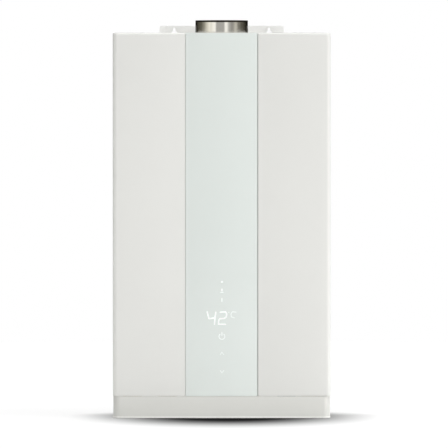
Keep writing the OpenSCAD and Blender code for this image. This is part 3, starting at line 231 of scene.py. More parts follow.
def hex_nut(shape, centre, axis, across, height, bore):
    """A hexagon with broken corners and a round hole."""
    angles, sixth = turns(48), pi / 3
    corner, chamfer = across * 0.52, height * 0.07
    flats = [across / 2 / cos((a + sixth / 2) % sixth - sixth / 2) for a in angles]
    limits = [(corner, 0.0), (across, chamfer), (across, height - chamfer), (corner, height)]
    limits += [(bore, height), (bore, 0.0), (corner, 0.0)]
    spin(shape, centre, axis, angles, [([min(flat, r) for flat in flats], up) for r, up in limits], False)


def thread(shape, centre, radius, depth, pitch, length, bore=0.0):
    """An upright screw thread that runs out at both ends. A bore makes it a tube."""
    sides, lead, fineness = 40, 1.2, 6
    steps = max(8, round(length / pitch * fineness))
    rows = []
    for k in range(steps + 1):
        up = length * k / steps
        fade = depth * min(1.0, up / lead, (length - up) / lead)
        crests = [1 - abs(((up / pitch - i / sides) % 1.0) * 2 - 1) for i in range(sides)]
        rows.append(([radius - depth + crest * fade for crest in crests], up))
    if bore:
        rows += [([bore] * sides, length), ([bore] * sides, 0.0), rows[0]]
    spin(shape, centre, UP, turns(sides), rows, not bore)


def bead(shape, start, end, out, width, height):
    """A pressed rib on a flat face, with rounded ends."""
    start, end, out = Vector(start), Vector(end), Vector(out).normalized()
    along = (end - start).normalized()
    across = along.cross(out)
    length = (end - start).length
    ends = [radians(a) for a in (8, 25, 45, 65, 90)]
    spots = [(width / 2 * (1 - cos(a)), sin(a)) for a in ends]
    spots += [(length - at, size) for at, size in reversed(spots)]
    section = [across * x * width / 2 + out * y * height for x, y in arc((0, 0), 1.0, 180, 0, 8)]
    loft(shape, [[start + along * at + p * size for p in section] for at, size in spots])


def radial_ribs(shape, centre, axis, count, inner, outer, length, width):
    """Straight ribs around a barrel, narrower outside."""
    u, v = basis(axis)
    w = Vector(axis).normalized()
    narrow = 0.7
    for a in turns(count):
        out = u * cos(a) + v * sin(a)
        side = w.cross(out) * width / 2
        tip = side * narrow
        section = [out * inner - side, out * outer - tip, out * outer + tip, out * inner + side]
        loft(shape, [[Vector(centre) + w * up + p for p in section] for up in (0.0, length)])


def placed(name, data):
    """A new object in the scene."""
    thing = bpy.data.objects.new(name, data)
    scene.collection.objects.link(thing)
    return thing


def mesh_thing(name, shape, look, scale=1.0):
    """A new object with one look, from a shape."""
    mesh = bpy.data.meshes.new(name)
    shape.to_mesh(mesh)
    shape.free()
    mesh.transform(Matrix.Scale(scale, 4))
    mesh.materials.append(look)
    return placed(name, mesh)


def modify(thing, name, kind, **settings):
    modifier = thing.modifiers.new(name, kind)
    for setting, value in settings.items():
        setattr(modifier, setting, value)


def make(name, build, slot, *replaces, body="chassis", look=None, smooth=38, sheet=None):
    """Make a piece that rides on a body. A sheet is drawn open and gets its thickness here."""
    merge_gap, sliver = 0.0005, 0.0004
    shape = bmesh.new()
    build(shape)
    if not sheet:
        bmesh.ops.recalc_face_normals(shape, faces=shape.faces)
    bmesh.ops.remove_doubles(shape, verts=shape.verts, dist=merge_gap)
    bmesh.ops.dissolve_degenerate(shape, edges=shape.edges, dist=sliver)
    for face in shape.faces:
        face.smooth = True
    for edge in shape.edges:
        edge.smooth = len(edge.link_faces) == 2 and edge.calc_face_angle(0) < radians(smooth)
    thing = mesh_thing(name, shape, looks[look or slot], MM)
    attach(thing, body)
    if replaces:
        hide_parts(*replaces)
    if sheet:
        modify(thing, "sheet", "SOLIDIFY", thickness=SHEET * MM, **sheet)


def piece(slot, *replaces, **options):
    """Make a piece of what the function below draws, under its name."""
    return lambda build: make(build.__name__, build, slot, *replaces, **options)


# Parts of looks

looks = {}


def srgb(code):
    """A colour from its six-figure code."""
    return tuple(((c / 255 + 0.055) / 1.055) ** 2.4 for c in bytes.fromhex(code)) + (1.0,)


def shift(colour, share):
    return tuple(min(1.0, c * share) for c in colour[:3]) + (1.0,)


def feed(node, values):
    """Set a node's inputs, or link them where the value is a socket."""
    for name, value in values.items():
        if isinstance(value, bpy.types.NodeSocket):
            node.id_data.links.new(value, node.inputs[name])
        else:
            node.inputs[name].default_value = value


def shader_node(owner, kind, values, rule=None):
    """A new node in the tree of another node or socket, with its inputs fed."""
    node = owner.id_data.nodes.new(f"ShaderNode{kind}")
    if rule:
        node.operation = rule
    feed(node, values)
    return node


def new_look(name, colour, rough, metal=0.0):
    """Keep a new look under its name, and give its shader."""
    look = bpy.data.materials.new(name)
    look.use_nodes = True
    looks[name] = look
    shader = look.node_tree.nodes["Principled BSDF"]
    feed(shader, {"Base Color": colour, "Roughness": rough, "Metallic": metal})
    return shader


def where(shader, stretch=(1, 1, 1)):
    """The place on the object in metres, stretched along its axes."""
    spot = shader_node(shader, "TexCoord", {}).outputs["Object"]
    return shader_node(shader, "Mapping", {"Scale": stretch, "Vector": spot}).outputs["Vector"]


def axes(shader):
    """The place on the object as three values, in metres."""
    return shader_node(shader, "SeparateXYZ", {"Vector": where(shader)}).outputs


def noise(shader, scale, detail, stretch=(1, 1, 1)):
    values = {"Scale": scale, "Detail": detail, "Vector": where(shader, stretch)}
    return shader_node(shader, "TexNoise", values).outputs["Fac"]


def spread(value, lowest, highest, start=0.3, stop=0.7):
    """Bring a value that runs from start to stop between two limits."""
    values = {"Value": value, "From Min": start, "From Max": stop, "To Min": lowest, "To Max": highest}
    return shader_node(value, "MapRange", values).outputs["Result"]


def tint(value, first, second, start=0.3, stop=0.7):
    """Run from one colour to another with a value."""
    ramp = shader_node(value, "ValToRGB", {"Fac": value})
    ends = ramp.color_ramp.elements
    ends[0].position, ends[0].color = start, first
    ends[1].position, ends[1].color = stop, second
    return ramp.outputs["Color"]


def sums(rule, *values):
    """A rule of arithmetic, on numbers and at least one socket."""
    owner = next(value for value in values if isinstance(value, bpy.types.NodeSocket))
    return shader_node(owner, "Math", dict(enumerate(values)), rule).outputs["Value"]


def relief(shader, value, height):
    """Raise the surface with a value, by a height in microns."""
    bump = shader_node(shader, "Bump", {"Distance": height * MICRON, "Strength": 1.0, "Height": value})
    feed(shader, {"Normal": bump.outputs["Normal"]})


def gloss(shader, value, rough, uneven):
    """Let the roughness vary with a value."""
    feed(shader, {"Roughness": spread(value, rough * (1 - uneven), rough * (1 + uneven))})


def grained(name, paint, rough, grain, height, metal=0.0, drift=0.02, coat=0.0):
    """A painted, moulded or cast surface: slowly drifting colour and an even grain."""
    patch, detail, uneven = 9.0, 3.0, 0.12
    colour = srgb(paint)
    shader = new_look(name, colour, rough, metal)
    slow = noise(shader, patch, detail)
    fine = noise(shader, grain, detail)
    drifting = tint(slow, shift(colour, 1 - drift), shift(colour, 1 + drift))
    feed(shader, {"Base Color": drifting, "Coat Weight": coat})
    gloss(shader, fine, rough, uneven)
    relief(shader, fine, height)


def sheet_metal(name, paint, rough, cell):
    """Zinc or aluminium coated sheet, with a faint spangle and rolling marks."""
    darker, paler, grain, detail, stretch = 0.9, 1.08, 160.0, 5.0, (1, 1, 14)
    uneven, height = 0.25, 30
    colour = srgb(paint)
    shader = new_look(name, colour, rough, 1.0)
    cells = shader_node(shader, "TexVoronoi", {"Scale": cell, "Vector": where(shader)}).outputs["Color"]
    feed(shader, {"Base Color": tint(cells, shift(colour, darker), shift(colour, paler))})
    rolled = noise(shader, grain, detail, stretch)
    gloss(shader, rolled, rough, uneven)
    relief(shader, rolled, height)


def worked_metal(name, paint, rough, stretch, grain, stain, patch=14.0):
    """Brushed, drawn or turned metal: lines along its working and a slow stain."""
    patch_detail, detail, uneven, height = 5.0, 4.0, 0.3, 20
    stained, clean = 0.34, 0.6
    colour = srgb(paint)
    shader = new_look(name, colour, rough, 1.0)
    slow = noise(shader, patch, patch_detail)
    feed(shader, {"Base Color": tint(slow, srgb(stain), colour, stained, clean)})
    lines = noise(shader, grain, detail, stretch)
    gloss(shader, lines, rough, uneven)
    relief(shader, lines, height)


# Looks with a make of their own

def glass_look():
    """White-backed tempered glass, a little green. It turns paler towards its foot: painted light that
    offsets the dimmer light near the floor.
    """
    upper, foot_lit_tone = srgb("e7ede9"), srgb("f2f8f4")
    pale_end, full_end, waver = 0.03, 0.22, 0.08
    shader = new_look("front_glass", upper, 0.22)
    drift = spread(noise(shader, 2.2, 2.0), -waver, waver)
    # Painted light: the colour is lifted near the foot, where the glass gets less light
    pale = sums("ADD", spread(axes(shader)["Z"], 1.0, 0.0, pale_end, full_end), drift)
    feed(shader, {
        "Base Color": tint(pale, upper, foot_lit_tone, 0.0, 1.0),
        "Roughness": spread(noise(shader, 6.0, 1.0), 0.19, 0.25),
        "Coat Weight": 0.4,
        "Coat Roughness": 0.02,
        "IOR": 1.35,
    })


def lit_look(name, strength):
    """A sign of white light behind the glass."""
    shader = new_look(name, srgb("f0f6f3"), 0.3)
    glow = spread(noise(shader, 300.0, 2.0), strength * 0.95, strength * 1.05)
    feed(shader, {"Emission Color": (0.97, 1.0, 0.985, 1.0), "Emission Strength": glow})


def board_look():
    """Green solder mask over a pattern of copper tracks."""
    shader = new_look("circuit_board", srgb("1c603e"), 0.35)
    upright = where(shader)
    feed(upright.node, {"Rotation": (pi / 2, 0, 0)})
    tracks = shader_node(shader, "TexBrick", {
        "Vector": upright, "Scale": 130.0, "Mortar Size": 0.06,
        "Color1": srgb("1a5c3a"), "Color2": srgb("226c46"), "Mortar": srgb("3a8a5c"),
    }).outputs
    rough = spread(noise(shader, 240.0, 4.0), 0.3, 0.42)
    feed(shader, {"Base Color": tracks["Color"], "Roughness": rough})
    relief(shader, tracks["Fac"], 40)


def collar_look():
    """Polished stainless steel, with painted shade along its two flanks that stands in for darker
    reflections there.
    """
    flank_start, flank_end, flank_shade_level, edge_glint = 0.0345, 0.039, 0.6, 0.02
    worked_metal("stainless", "e4e1dc", 0.1, (1, 1, 40), 90.0, "dcd9d2", 6.0)
    shader = looks["stainless"].node_tree.nodes["Principled BSDF"]
    aside = sums("ABSOLUTE", axes(shader)["X"])
    # Painted shade: the colour is scaled down towards the two flanks
    painted_flank_shade = spread(aside, 1.0, flank_shade_level, flank_start, flank_end)
    plain = shader.inputs["Base Color"].links[0].from_socket
    darker = shader_node(shader, "VectorMath", {0: plain, "Scale": painted_flank_shade}, "SCALE").outputs["Vector"]
    feed(shader, {"Base Color": darker, "Specular Tint": (edge_glint, edge_glint, edge_glint, 1)})


# Looks by name, with their colour, roughness, grains a metre and the grain's height in microns

glass_look()
board_look()
collar_look()
lit_look("lit_sign", 0.16)
lit_look("lit_digit", 0.3)
grained("white_paint", "eaeae6", 0.42, 900, 20, drift=0.006, coat=0.12)
grained("chassis_paint", "dededb", 0.5, 700, 20)
grained("top_paint", "e5e5e2", 0.45, 800, 20)
# The bracket's white is lighter than the cover's: painted light that makes up for the shade it stands in
grained("bracket_steel", "fafaf8", 0.45, 800, 20, coat=0.1)
grained("black_tape", "2c2c2d", 0.9, 1600, 100)
grained("white_plastic", "e9e9e6", 0.5, 1800, 40)
grained("skirt_plastic", "e0e0db", 0.48, 1500, 30, drift=0.008)
# The skirt's foot lip is paler than the skirt: a painted highlight line
grained("skirt_foot_highlight", "f5f5f1", 0.5, 1500, 30, drift=0.004)
grained("light_guide", "eef0f0", 0.25, 600, 10, coat=0.3)
grained("soft_pad", "3a3a3e", 0.9, 1800, 100)
grained("gasket", "504e4c", 0.95, 1200, 200)
# A dark colour for a sheet inside the flue collar: painted shade
grained("flue_inner_shade", "34302b", 0.75, 500, 80, drift=0.2)
grained("cast_aluminium", "babbba", 0.46, 520, 120, metal=1.0, drift=0.05)
grained("ceramic", "f0ede2", 0.16, 300, 20, coat=0.5)
grained("black_plastic", "2e2e30", 0.48, 1500, 50)
grained("red_silicone", "b03226", 0.55, 900, 40)
grained("motor_paint", "38393c", 0.36, 700, 40, coat=0.25)
grained("black_cable", "282828", 0.5, 1400, 40)
grained("coil_black", "202022", 0.4, 1100, 40)
grained("coil_red", "8c2c22", 0.4, 1100, 40)
grained("turbine_plastic", "dededa", 0.4, 900, 30)
grained("knob_blue", "22509e", 0.3, 900, 30, coat=0.2)
grained("gland_rubber", "242424", 0.7, 1300, 60)
grained("winding_tape", "ce9e3e", 0.4, 700, 30, drift=0.05, coat=0.2)
grained("can_sleeve", "222a42", 0.35, 600, 20, drift=0.05, coat=0.2)
grained("resistor_body", "ccb28a", 0.45, 900, 30, drift=0.05)
grained("resistor_band", "703e28", 0.45, 900, 30, drift=0.05)

WIRES = {
    "red": "ba2c26", "blue": "2c54a6", "yellow": "debe3e", "white": "e2e2de",
    "black": "28282a",
}
for tone, tone_code in WIRES.items():
    grained(f"wire_{tone}", tone_code, 0.42, 900, 30)

# Metals by name, with their colour, roughness, stretch of the lines, lines a metre and stain
sheet_metal("hot_sheet", "bcbdbc", 0.34, 90.0)
worked_metal("zinc_steel", "c4c6c8", 0.3, (6, 6, 1), 500, "b0b2b2")
worked_metal("copper", "d6926e", 0.26, (1, 1, 8), 120, "b0684a")
worked_metal("brass", "d0b270", 0.28, (1, 1, 16), 220, "ba985c")
worked_metal("electrode", "8c8884", 0.45, (1, 8, 1), 240, "5c5458", 60.0)
worked_metal("plunger_steel", "bababc", 0.24, (1, 18, 1), 300, "aaaaaa")
# A near-black colour for the collar's rim: painted shade
worked_metal("shaded_flue_rim", "302b25", 0.4, (1, 1, 30), 120, "201d1a")
worked_metal("lamination", "78787a", 0.4, (8, 1, 1), 300, "54504e", 60.0)


# Cover

BAND_EDGE = high("glass_panel").x + 1.1
CHANNEL = low("glass_tape").y + 0.8
STEP_BEND = 0.5
WINDOW_RIM = 6.5
WINDOW_X = high("display_housing").x - WINDOW_RIM
WINDOW_FOOT = low("display_housing").z + WINDOW_RIM
WINDOW_TOP = high("display_housing").z - WINDOW_RIM
LIP_LINE = FRONT + 24.0
FOLD_TOP = 2.6
FOLD_CORNER = 4.2
FOLD_FOOT = 0.8
FOLD_RUN_OUT = 9.0
EDGE_BREAK = 0.4
LIP_DROP = 0.9
REAR_DROP = 2.6
GLASS_FACE = FRONT + 0.1


def cover_outline(inset):
    """The cover from above, drawn in, from its left rear edge round the front to its right one."""
    x, y = HALF_W - inset, FRONT + inset
    step, floor = BAND_EDGE + inset, CHANNEL + inset
    half = [
        (-x, REAR, 0), (-x, LIP_LINE, 0), (-x, y, max(CORNER - inset, 0.3)),
        (-step, y, max(STEP_BEND - inset, 0.15)), (-step, floor, STEP_BEND + inset), (-WINDOW_X, floor, 0),
    ]
    return fillet(half + [(-a, b, r) for a, b, r in reversed(half)])


def fold_ring(radius, angle, level, sign):
    """The outline part of the way round a fold, which runs out along the sides."""
    ring = []
    for i, (x, y) in enumerate(cover_outline(0)):
        fade = min(1.0, max(0.0, (LIP_LINE - y) / FOLD_RUN_OUT))
        wide = FOLD_CORNER if sign > 0 and abs(x) > HALF_W - CORNER - 0.1 else radius
        r = EDGE_BREAK + (wide - EDGE_BREAK) * fade
        x2, y2 = cover_outline(r * (1 - cos(angle)))[i]
        along = max(0.0, y - LIP_LINE) / (REAR - LIP_LINE)
        drop = LIP_DROP * (1 - fade) + (REAR_DROP - LIP_DROP) * along if sign > 0 else 0.0
        ring.append((x2, y2, level - drop + sign * r * (sin(angle) - 1)))
    return ring


@piece("white_paint", "front_cover", body="cover", sheet={"offset": -1, "use_even_offset": True})
def cover_shell(shape):
    """The folded steel cover, with its channel for the glass, its window and its lips."""
    quarter = [radians(a) for a in range(90, -1, -15)]
    rings = [fold_ring(FOLD_FOOT, a, COVER_FOOT, -1) for a in quarter]
    rings += [[(x, y, z) for x, y in cover_outline(0)] for z in (WINDOW_FOOT, WINDOW_TOP)]
    rings += [fold_ring(FOLD_TOP, a, TOP, 1) for a in reversed(quarter)]
    rows = loft(shape, rings, around=False)
    for row, flip in ((rows[0], True), (rows[-1], False)):
        inner = [shape.verts.new((v.co.x, max(v.co.y, LIP_LINE), v.co.z)) for v in row]
        for i in range(len(row) - 1):
            if min(row[i].co.y, row[i + 1].co.y) < LIP_LINE - 0.01:
                quad = (row[i], row[i + 1], inner[i + 1], inner[i])
                shape.faces.new(quad[::-1] if flip else quad)
    cut(shape, lambda at: WINDOW_FOOT < at.z < WINDOW_TOP and abs(at.x) < 1 and at.y > FRONT + 2)
    loose = [v for v in shape.verts if not v.link_faces]
    bmesh.ops.delete(shape, geom=loose, context="VERTS")


@piece("front_glass", "glass_panel", body="cover")
def glass_front(shape):
    """The glass strip, with ground and polished edges."""
    x, back = high("glass_panel").x + 0.4, high("glass_panel").y
    edge, rear_edge, aside = 0.4, 0.3, -0.25
    ends = [(0, edge), (edge * 0.3, edge * 0.3), (edge, 0)]
    levels = [(COVER_FOOT + up, inset) for up, inset in ends]
    levels += [(TOP - down, inset) for down, inset in reversed(ends)]
    rings = []
    for z, inset in levels:
        face = GLASS_FACE + inset
        corners = [(-x, face, edge), (x, face, edge), (x, back, rear_edge), (-x, back, rear_edge)]
        rings.append([(px + aside, py, z) for px, py in loop_fillet(corners, 4)])
    loft(shape, rings)


# Signs behind the glass, as strokes in (x, z)

def stroke(shape, points, width):
    """A flat line of light with round ends."""
    path = [Vector(p) for p in points]
    runs = [(b - a).normalized() for a, b in zip(path, path[1:])]
    left, right = [], []
    for here, before, after in zip(path, runs[:1] + runs, runs + runs[-1:]):
        bisector = (before + after).normalized()
        normal = Vector((-bisector.y, bisector.x)) * (width / 2 / max(0.5, bisector.dot(before)))
        left.append(here + normal)
        right.append(here - normal)

    def tip(end, toward):
        angle = degrees(atan2(toward.y, toward.x))
        return [Vector(p) for p in arc(end, width / 2, angle + 70, angle - 70, 4)]

    outline = left + tip(path[-1], runs[-1]) + right[::-1] + tip(path[0], -runs[0])
    loft(shape, [[(p.x, y, p.y) for p in outline] for y in (GLASS_FACE + 0.05, FRONT)])


@piece("light_guide", body="cover", look="lit_digit")
def lit_digits(shape):
    """The set temperature."""
    pen = 1.6
    four = [(-22.0, 161.3), (-19.2, 150.9), (-9.9, 152.4)]
    stem = [(-8.9, 160.9), (-10.0, 153.7), (-10.9, 142.6)]
    two = [(-2.2, 160.6), (5.8, 161.5), (7.7, 158.2), (7.1, 153.7), (4.1, 151.3),
           (-2.6, 150.9), (-4.6, 148.2), (-4.8, 142.6), (6.0, 142.4)]
    for line in (four, stem, two):
        stroke(shape, line, pen)


@piece("light_guide", body="cover", look="lit_sign")
def lit_marks(shape):
    """The degree sign, the power and arrow keys, and the lamps above them."""
    x, thin, bold = 0.4, 1.05, 1.3
    degree = arc((10.8, 160.4), 0.6, 100, 450, 14)
    unit = [(21.9, 160.9), (16.3, 161.5), (14.1, 158.2), (14.6, 153.8), (19.6, 152.1)]
    power = arc((x, 124.0), 4.4, 130, 410, 24)
    marks = (
        (degree, 0.5),
        (unit, thin),
        (power, bold),
        ([(x, 130.2), (x, 125.4)], bold),
        ([(-2.2, 96.5), (x, 100.2), (3.2, 96.5)], thin),
        ([(-2.2, 72.4), (x, 68.7), (3.3, 72.4)], thin),
        ([(0.2, 206.8), (0.6, 206.8)], 3.0),
        ([(x, 195.4), (x, 193.6)], 2.6),
        ([(-1.5, 190.8), (2.3, 190.8)], bold),
        ([(x, 181.6), (x, 177.2)], 1.7),
    )
    for line, pen in marks:
        stroke(shape, line, pen)


# Skirt

def skirt_sweep(shape, corners, rear):
    """Sweep a section of (inset, height, radius) corners along the skirt's three sides."""
    rings = []
    for inset, z in loop_fillet(corners, 3):
        x, y, bend = HALF_W - inset, FRONT + inset, SKIRT_CORNER - inset
        path = fillet([(-x, rear, 0), (-x, y, bend), (x, y, bend), (x, rear, 0)], 8)
        rings.append([(px, py, z) for px, py in path])
    rows = loft(shape, rings + rings[:1], around=False)
    for end in (0, -1):
        shape.faces.new([row[end] for row in rows[:-1]])


@piece("skirt_plastic", "skirt")
def skirt_shell(shape):
    """The moulded skirt under the cover, with its screw bosses and their ribs."""
    face, wall, top = 0.7, 2.5, COVER_FOOT - 0.2
    skirt_sweep(shape, [(face, 0.0, 0.3), (face, top, 0.3), (wall, top, 0.3), (wall, 0.0, 0.4)], REAR)
    boss_x, boss_r, bore, foot, rib_half = 154.5, 5.0, 2.2, 6.0, 1.5
    boss = [(boss_r, foot + 0.5), (boss_r, 35.0), (bore, 35.0), (bore, foot), (boss_r - 0.5, foot)]
    for side in (-1, 1):
        for y in (-41.0, 56.0):
            lathe(shape, boss, (side * boss_x, y, 0), sides=32, hollow=True)
            inner, outer = sorted((side * (boss_x + boss_r - 0.4), side * (HALF_W - 1)))
            block(shape, (inner, y - rib_half, foot), (outer, y + rib_half, top - 0.3))


@piece("skirt_plastic", look="skirt_foot_highlight")
def skirt_foot_highlight(shape):
    """The soft lip along the skirt's foot, in a paler colour that is a painted highlight line."""
    corners = [(0.5, 0.3, 0.3), (0.0, 0.8, 0.4), (0.0, 2.2, 0.5), (0.8, 2.8, 0.3), (1.2, 1.5, 0.3)]
    skirt_sweep(shape, corners, REAR - 0.5)


# Flue collar

FLUE_AXIS = middle("flue_collar").to_2d().to_3d()
FLUE_TOP = high("flue_collar").z
FLANGE = low("flue_collar").z
RIM_R = 40.0
PIPE_R = RIM_R - 0.1
BORE_R = PIPE_R - 0.8
HEM_FOOT = FLUE_TOP - 1.9


def flue_ring(shape, profile, sides=128):
    lathe(shape, profile, FLUE_AXIS, sides=sides, hollow=True)


@piece("stainless", "flue_collar", smooth=30)
def flue_pipe(shape):
    """The rolled stainless collar with its clamped flange."""
    edge, top = RIM_R + 12, FLANGE + 2
    flange = [(edge - 0.4, FLANGE), (edge, FLANGE + 0.4), (edge, top - 0.4), (edge - 0.4, top)]
    bend = [(PIPE_R + 1, top), (PIPE_R + 0.3, top + 0.3), (PIPE_R, top + 1), (PIPE_R, top + 1.2)]
    end = [(PIPE_R, HEM_FOOT - 0.3), (PIPE_R - 0.25, HEM_FOOT), (BORE_R, HEM_FOOT), (BORE_R, FLANGE)]
    flue_ring(shape, flange + bend + end)


@piece("stainless", look="shaded_flue_rim")
def shaded_flue_rim(shape):
    """The hemmed rim of the collar, coloured dark as painted shade for the rolled edge and the dim inside
    beyond it.
    """
    roll = 0.65
    hem = arc((RIM_R - roll, FLUE_TOP - roll), roll, 0, 180, 8)
    flue_ring(shape, [(RIM_R, HEM_FOOT), *hem, (BORE_R, HEM_FOOT)])


@piece("stainless", look="flue_inner_shade")
def flue_lining(shape):
    """A dark sheet inside the collar: painted shade for its dim inside."""
    outer, inner, foot = BORE_R - 0.02, BORE_R - 0.1, FLANGE + 1
    flue_ring(shape, [(outer, foot), (outer, HEM_FOOT), (inner, HEM_FOOT), (inner, foot)])


# Casing

@piece("chassis_paint", "rear_chassis", smooth=15, sheet={"offset": 1})
def rear_panel(shape):
    """The rear sheet with folded sides, pressed ribs and notches for the keyholes."""
    lowest, highest = low("rear_chassis"), high("rear_chassis")
    x, back, fold = highest.x, highest.y, lowest.y
    bend, rise, slope = 2.0, 1.6, 3.5
    ribs, rib_half, rib_x = (120.0, 230.0, 340.0, 450.0), 10.0, 138.0
    notch_foot = highest.z - 9.0
    breaks = (KEYHOLE_X - KEYHOLE_HALF, KEYHOLE_X + KEYHOLE_HALF, rib_x, rib_x - slope, rib_x - slope / 3)
    flat = sorted({side * at for side in (-1, 1) for at in breaks})

    def raised(at, z):
        up = max(min(1.0, max(0.0, (rib_half - abs(z - rib)) / slope)) for rib in ribs)
        ends = min(1.0, max(0.0, (rib_x - abs(at)) / slope))
        return rise * min(up, ends)

    levels = [lowest.z, notch_foot, highest.z]
    for rib in ribs:
        levels += [rib - rib_half, rib - rib_half + slope, rib + rib_half - slope, rib + rib_half]
    rings = []
    for z in sorted(levels):
        row = [(-x, fold), *arc((bend - x, back - bend), bend, 180, 90, 8)]
        row += [(at, back + raised(at, z)) for at in flat]
        row += [*arc((x - bend, back - bend), bend, 90, 0, 8), (x, fold)]
        rings.append([(px, py, z) for px, py in row])
    loft(shape, rings, around=False)
    cut(shape, lambda at: at.z > notch_foot and abs(abs(at.x) - KEYHOLE_X) < KEYHOLE_HALF / 2)


@piece("top_paint")
def top_beads(shape):
    """Pressed ribs and a raised ring on the top plate."""
    sunk, front, rear = PLATE_TOP - 0.1, -34, 48
    ring_r, ring_half, flatness = 55.6, 2.8, 0.4
    for x in (-142, -112, 112, 142):
        bead(shape, (x, front, sunk), (x, rear, sunk), UP, width=9, height=0.8)
    ring = [(r, PLATE_TOP - 0.2 + up * flatness) for r, up in arc((ring_r, 0), ring_half, 180, 0, 10)]
    flue_ring(shape, ring, 96)


@piece("top_paint")
def hook_pockets(shape):
    """Sheet pockets behind the keyholes, where the heads of the wall screws go."""
    wall, flange = 0.8, 4.0
    back, roof = high("top_plate").y, PLATE_TOP - SHEET
    front, floor = back - 12.0, roof - 8.6
    for x in (-KEYHOLE_X, KEYHOLE_X):
        left, right = x - KEYHOLE_HALF, x + KEYHOLE_HALF
        near = (left - wall, front - wall, floor - wall)
        block(shape, near, (right + wall, back, floor))
        block(shape, near, (right + wall, front, roof))
        block(shape, near, (left, back, roof))
        block(shape, (right, front - wall, floor - wall), (right + wall, back, roof))
        block(shape, (left - flange, front - flange, roof - wall), (right + flange, front, roof))


# Fixings

SHANK_R = 2.0
THREAD_CUT = 0.35
PAN_R = 4.0
PAN_H = 2.4


@piece("zinc_steel", "cover_screws", body="cover")
def cover_fixings(shape):
    """The cover's countersunk screws with their nuts."""
    lowest, highest, y = low("cover_screws"), high("cover_screws"), middle("cover_screws").y
    radius = (highest.y - lowest.y) / 2
    for x in (radius - highest.x, highest.x - radius):
        head = (x, y, TOP - 0.2)
        cross_head(shape, head, UP, radius, 0.5)
        lathe(shape, [(SHANK_R, -2.2), (radius, 0.0)], head, sides=32)
        thread(shape, (x, y, lowest.z), SHANK_R, THREAD_CUT, pitch=0.7, length=TOP - 2.0 - lowest.z)
        hex_nut(shape, (x, y, TOP - 6.2), UP, across=7.0, height=3.0, bore=SHANK_R)


def pan_screws(shape, places, side, shank, head=PAN_H):
    """Pan-head screws. The side is 1 where the head is on top and -1 where it is below."""
    for x, y, z in places:
        cross_head(shape, (x, y, z), (0, 0, side), PAN_R, head)
        start = z - shank if side > 0 else z
        thread(shape, (x, y, start), SHANK_R, THREAD_CUT, pitch=1.2, length=shank)


def corner_places(node):
    """Where a node's four screws stand, seen from above."""
    x = high(node).x - PAN_R
    return [(side * x, y) for side in (-1, 1) for y in (low(node).y + PAN_R, high(node).y - PAN_R)]


@piece("zinc_steel", "flue_screws")
def flue_fixings(shape):
    reach = (high("flue_screws").x - PAN_R) / cos(radians(45))
    places = [(x, y, PLATE_TOP) for x, y in arc(FLUE_AXIS, reach, 45, 315, 3)]
    pan_screws(shape, places, 1, PLATE_TOP - low("flue_screws").z, head=1.4)


@piece("zinc_steel", "stack_screws")
def stack_fixings(shape):
    levels = (low("exhaust_hood").z + SHEET, low("exchanger_shell").z + SHEET)
    pan_screws(shape, [(x, y, z) for x, y in corner_places("stack_screws") for z in levels], 1, shank=7.0)


@piece("zinc_steel", "skirt_screws")
def skirt_fixings(shape):
    foot = 6.0
    places = [(x, y, foot) for x, y in corner_places("skirt_screws")]
    pan_screws(shape, places, -1, high("skirt_screws").z - foot)


# Fittings

def fitting(shape, node):
    """A brass fitting with a half-inch pipe thread, a hexagon and a collar."""
    (x, y, _), foot, top = middle(node), low(node).z, high(node).z
    if node == "cold_inlet":
        x = high(node).x - 15.0
    major, depth, pitch = 10.4775, 1.16, 1.814
    hexagon, bore, neck_r = 24.0, 7.0, 9.0
    collar, plate, inside = high(node).y - y, PLATE_FOOT, hexagon + 7
    thread(shape, (x, y, foot), major, depth, pitch, hexagon - foot, bore)
    hex_nut(shape, (x, y, hexagon - 0.01), UP, across=26.0, height=8.0, bore=bore)
    seat = [(collar - 0.5, plate - 2), (collar, plate - 1.5), (collar, plate - 0.3), (collar - 0.3, plate)]
    neck = [(neck_r, plate), (neck_r, top - 0.4), (neck_r - 0.4, top), (bore, top), (bore, inside)]
    lathe(shape, seat + neck + [(neck_r, inside), (neck_r, plate - 2)], (x, y, 0), sides=48, hollow=True)


@piece("brass", "gas_inlet")
def gas_fitting(shape):
    fitting(shape, "gas_inlet")


@piece("brass", "cold_inlet")
def cold_fitting(shape):
    """The cold fitting, with the block that feeds the drain valve."""
    front, rear, foot, top, right = 13.5, 26.5, 37.0, 51.0, 128.5
    fitting(shape, "cold_inlet")
    block(shape, (low("cold_inlet").x, front, foot), (right, rear, top), 0.8)


@piece("brass", "hot_outlet")
def hot_fitting(shape):
    fitting(shape, "hot_outlet")


@piece("knob_blue", "drain_knob", body="drain")
def drain_grip(shape):
    """The ribbed drain knob with its wings and its grooved stem."""
    lowest, highest, centre = low("drain_knob"), high("drain_knob"), middle("drain_knob")
    x, y = centre.to_2d()
    radius, top, wing_half = (highest.y - lowest.y) / 2, PLATE_FOOT - 2.0, 2.5
    core, foot, stem_r, groove_r, groove = radius - 0.9, top - 4.4, 3.9, 3.3, 40
    disc = [(core - 0.5, top - 5), (core, foot), (core, top - 0.6), (core - 0.5, top)]
    hub = [(6.5, lowest.z + 1), (7.0, lowest.z + 2), (7.0, top - 1)]
    stem = [(stem_r, top - 1), (stem_r, groove), (groove_r, groove + 0.4), (groove_r, groove + 2)]
    stem += [(stem_r, groove + 2.4), (stem_r, highest.z - 0.5), (stem_r - 0.5, highest.z)]
    lathe(shape, disc, (x, y, 0))
    radial_ribs(shape, (x, y, foot), UP, count=28, inner=core - 0.6, outer=radius, length=3.8, width=1.2)
    block(shape, (lowest.x, y - wing_half, lowest.z), (highest.x, y + wing_half, top - 1), 1.6, 4)
    lathe(shape, hub, (x, y, 0), sides=40)
    lathe(shape, stem, (x, y, 0), sides=32)


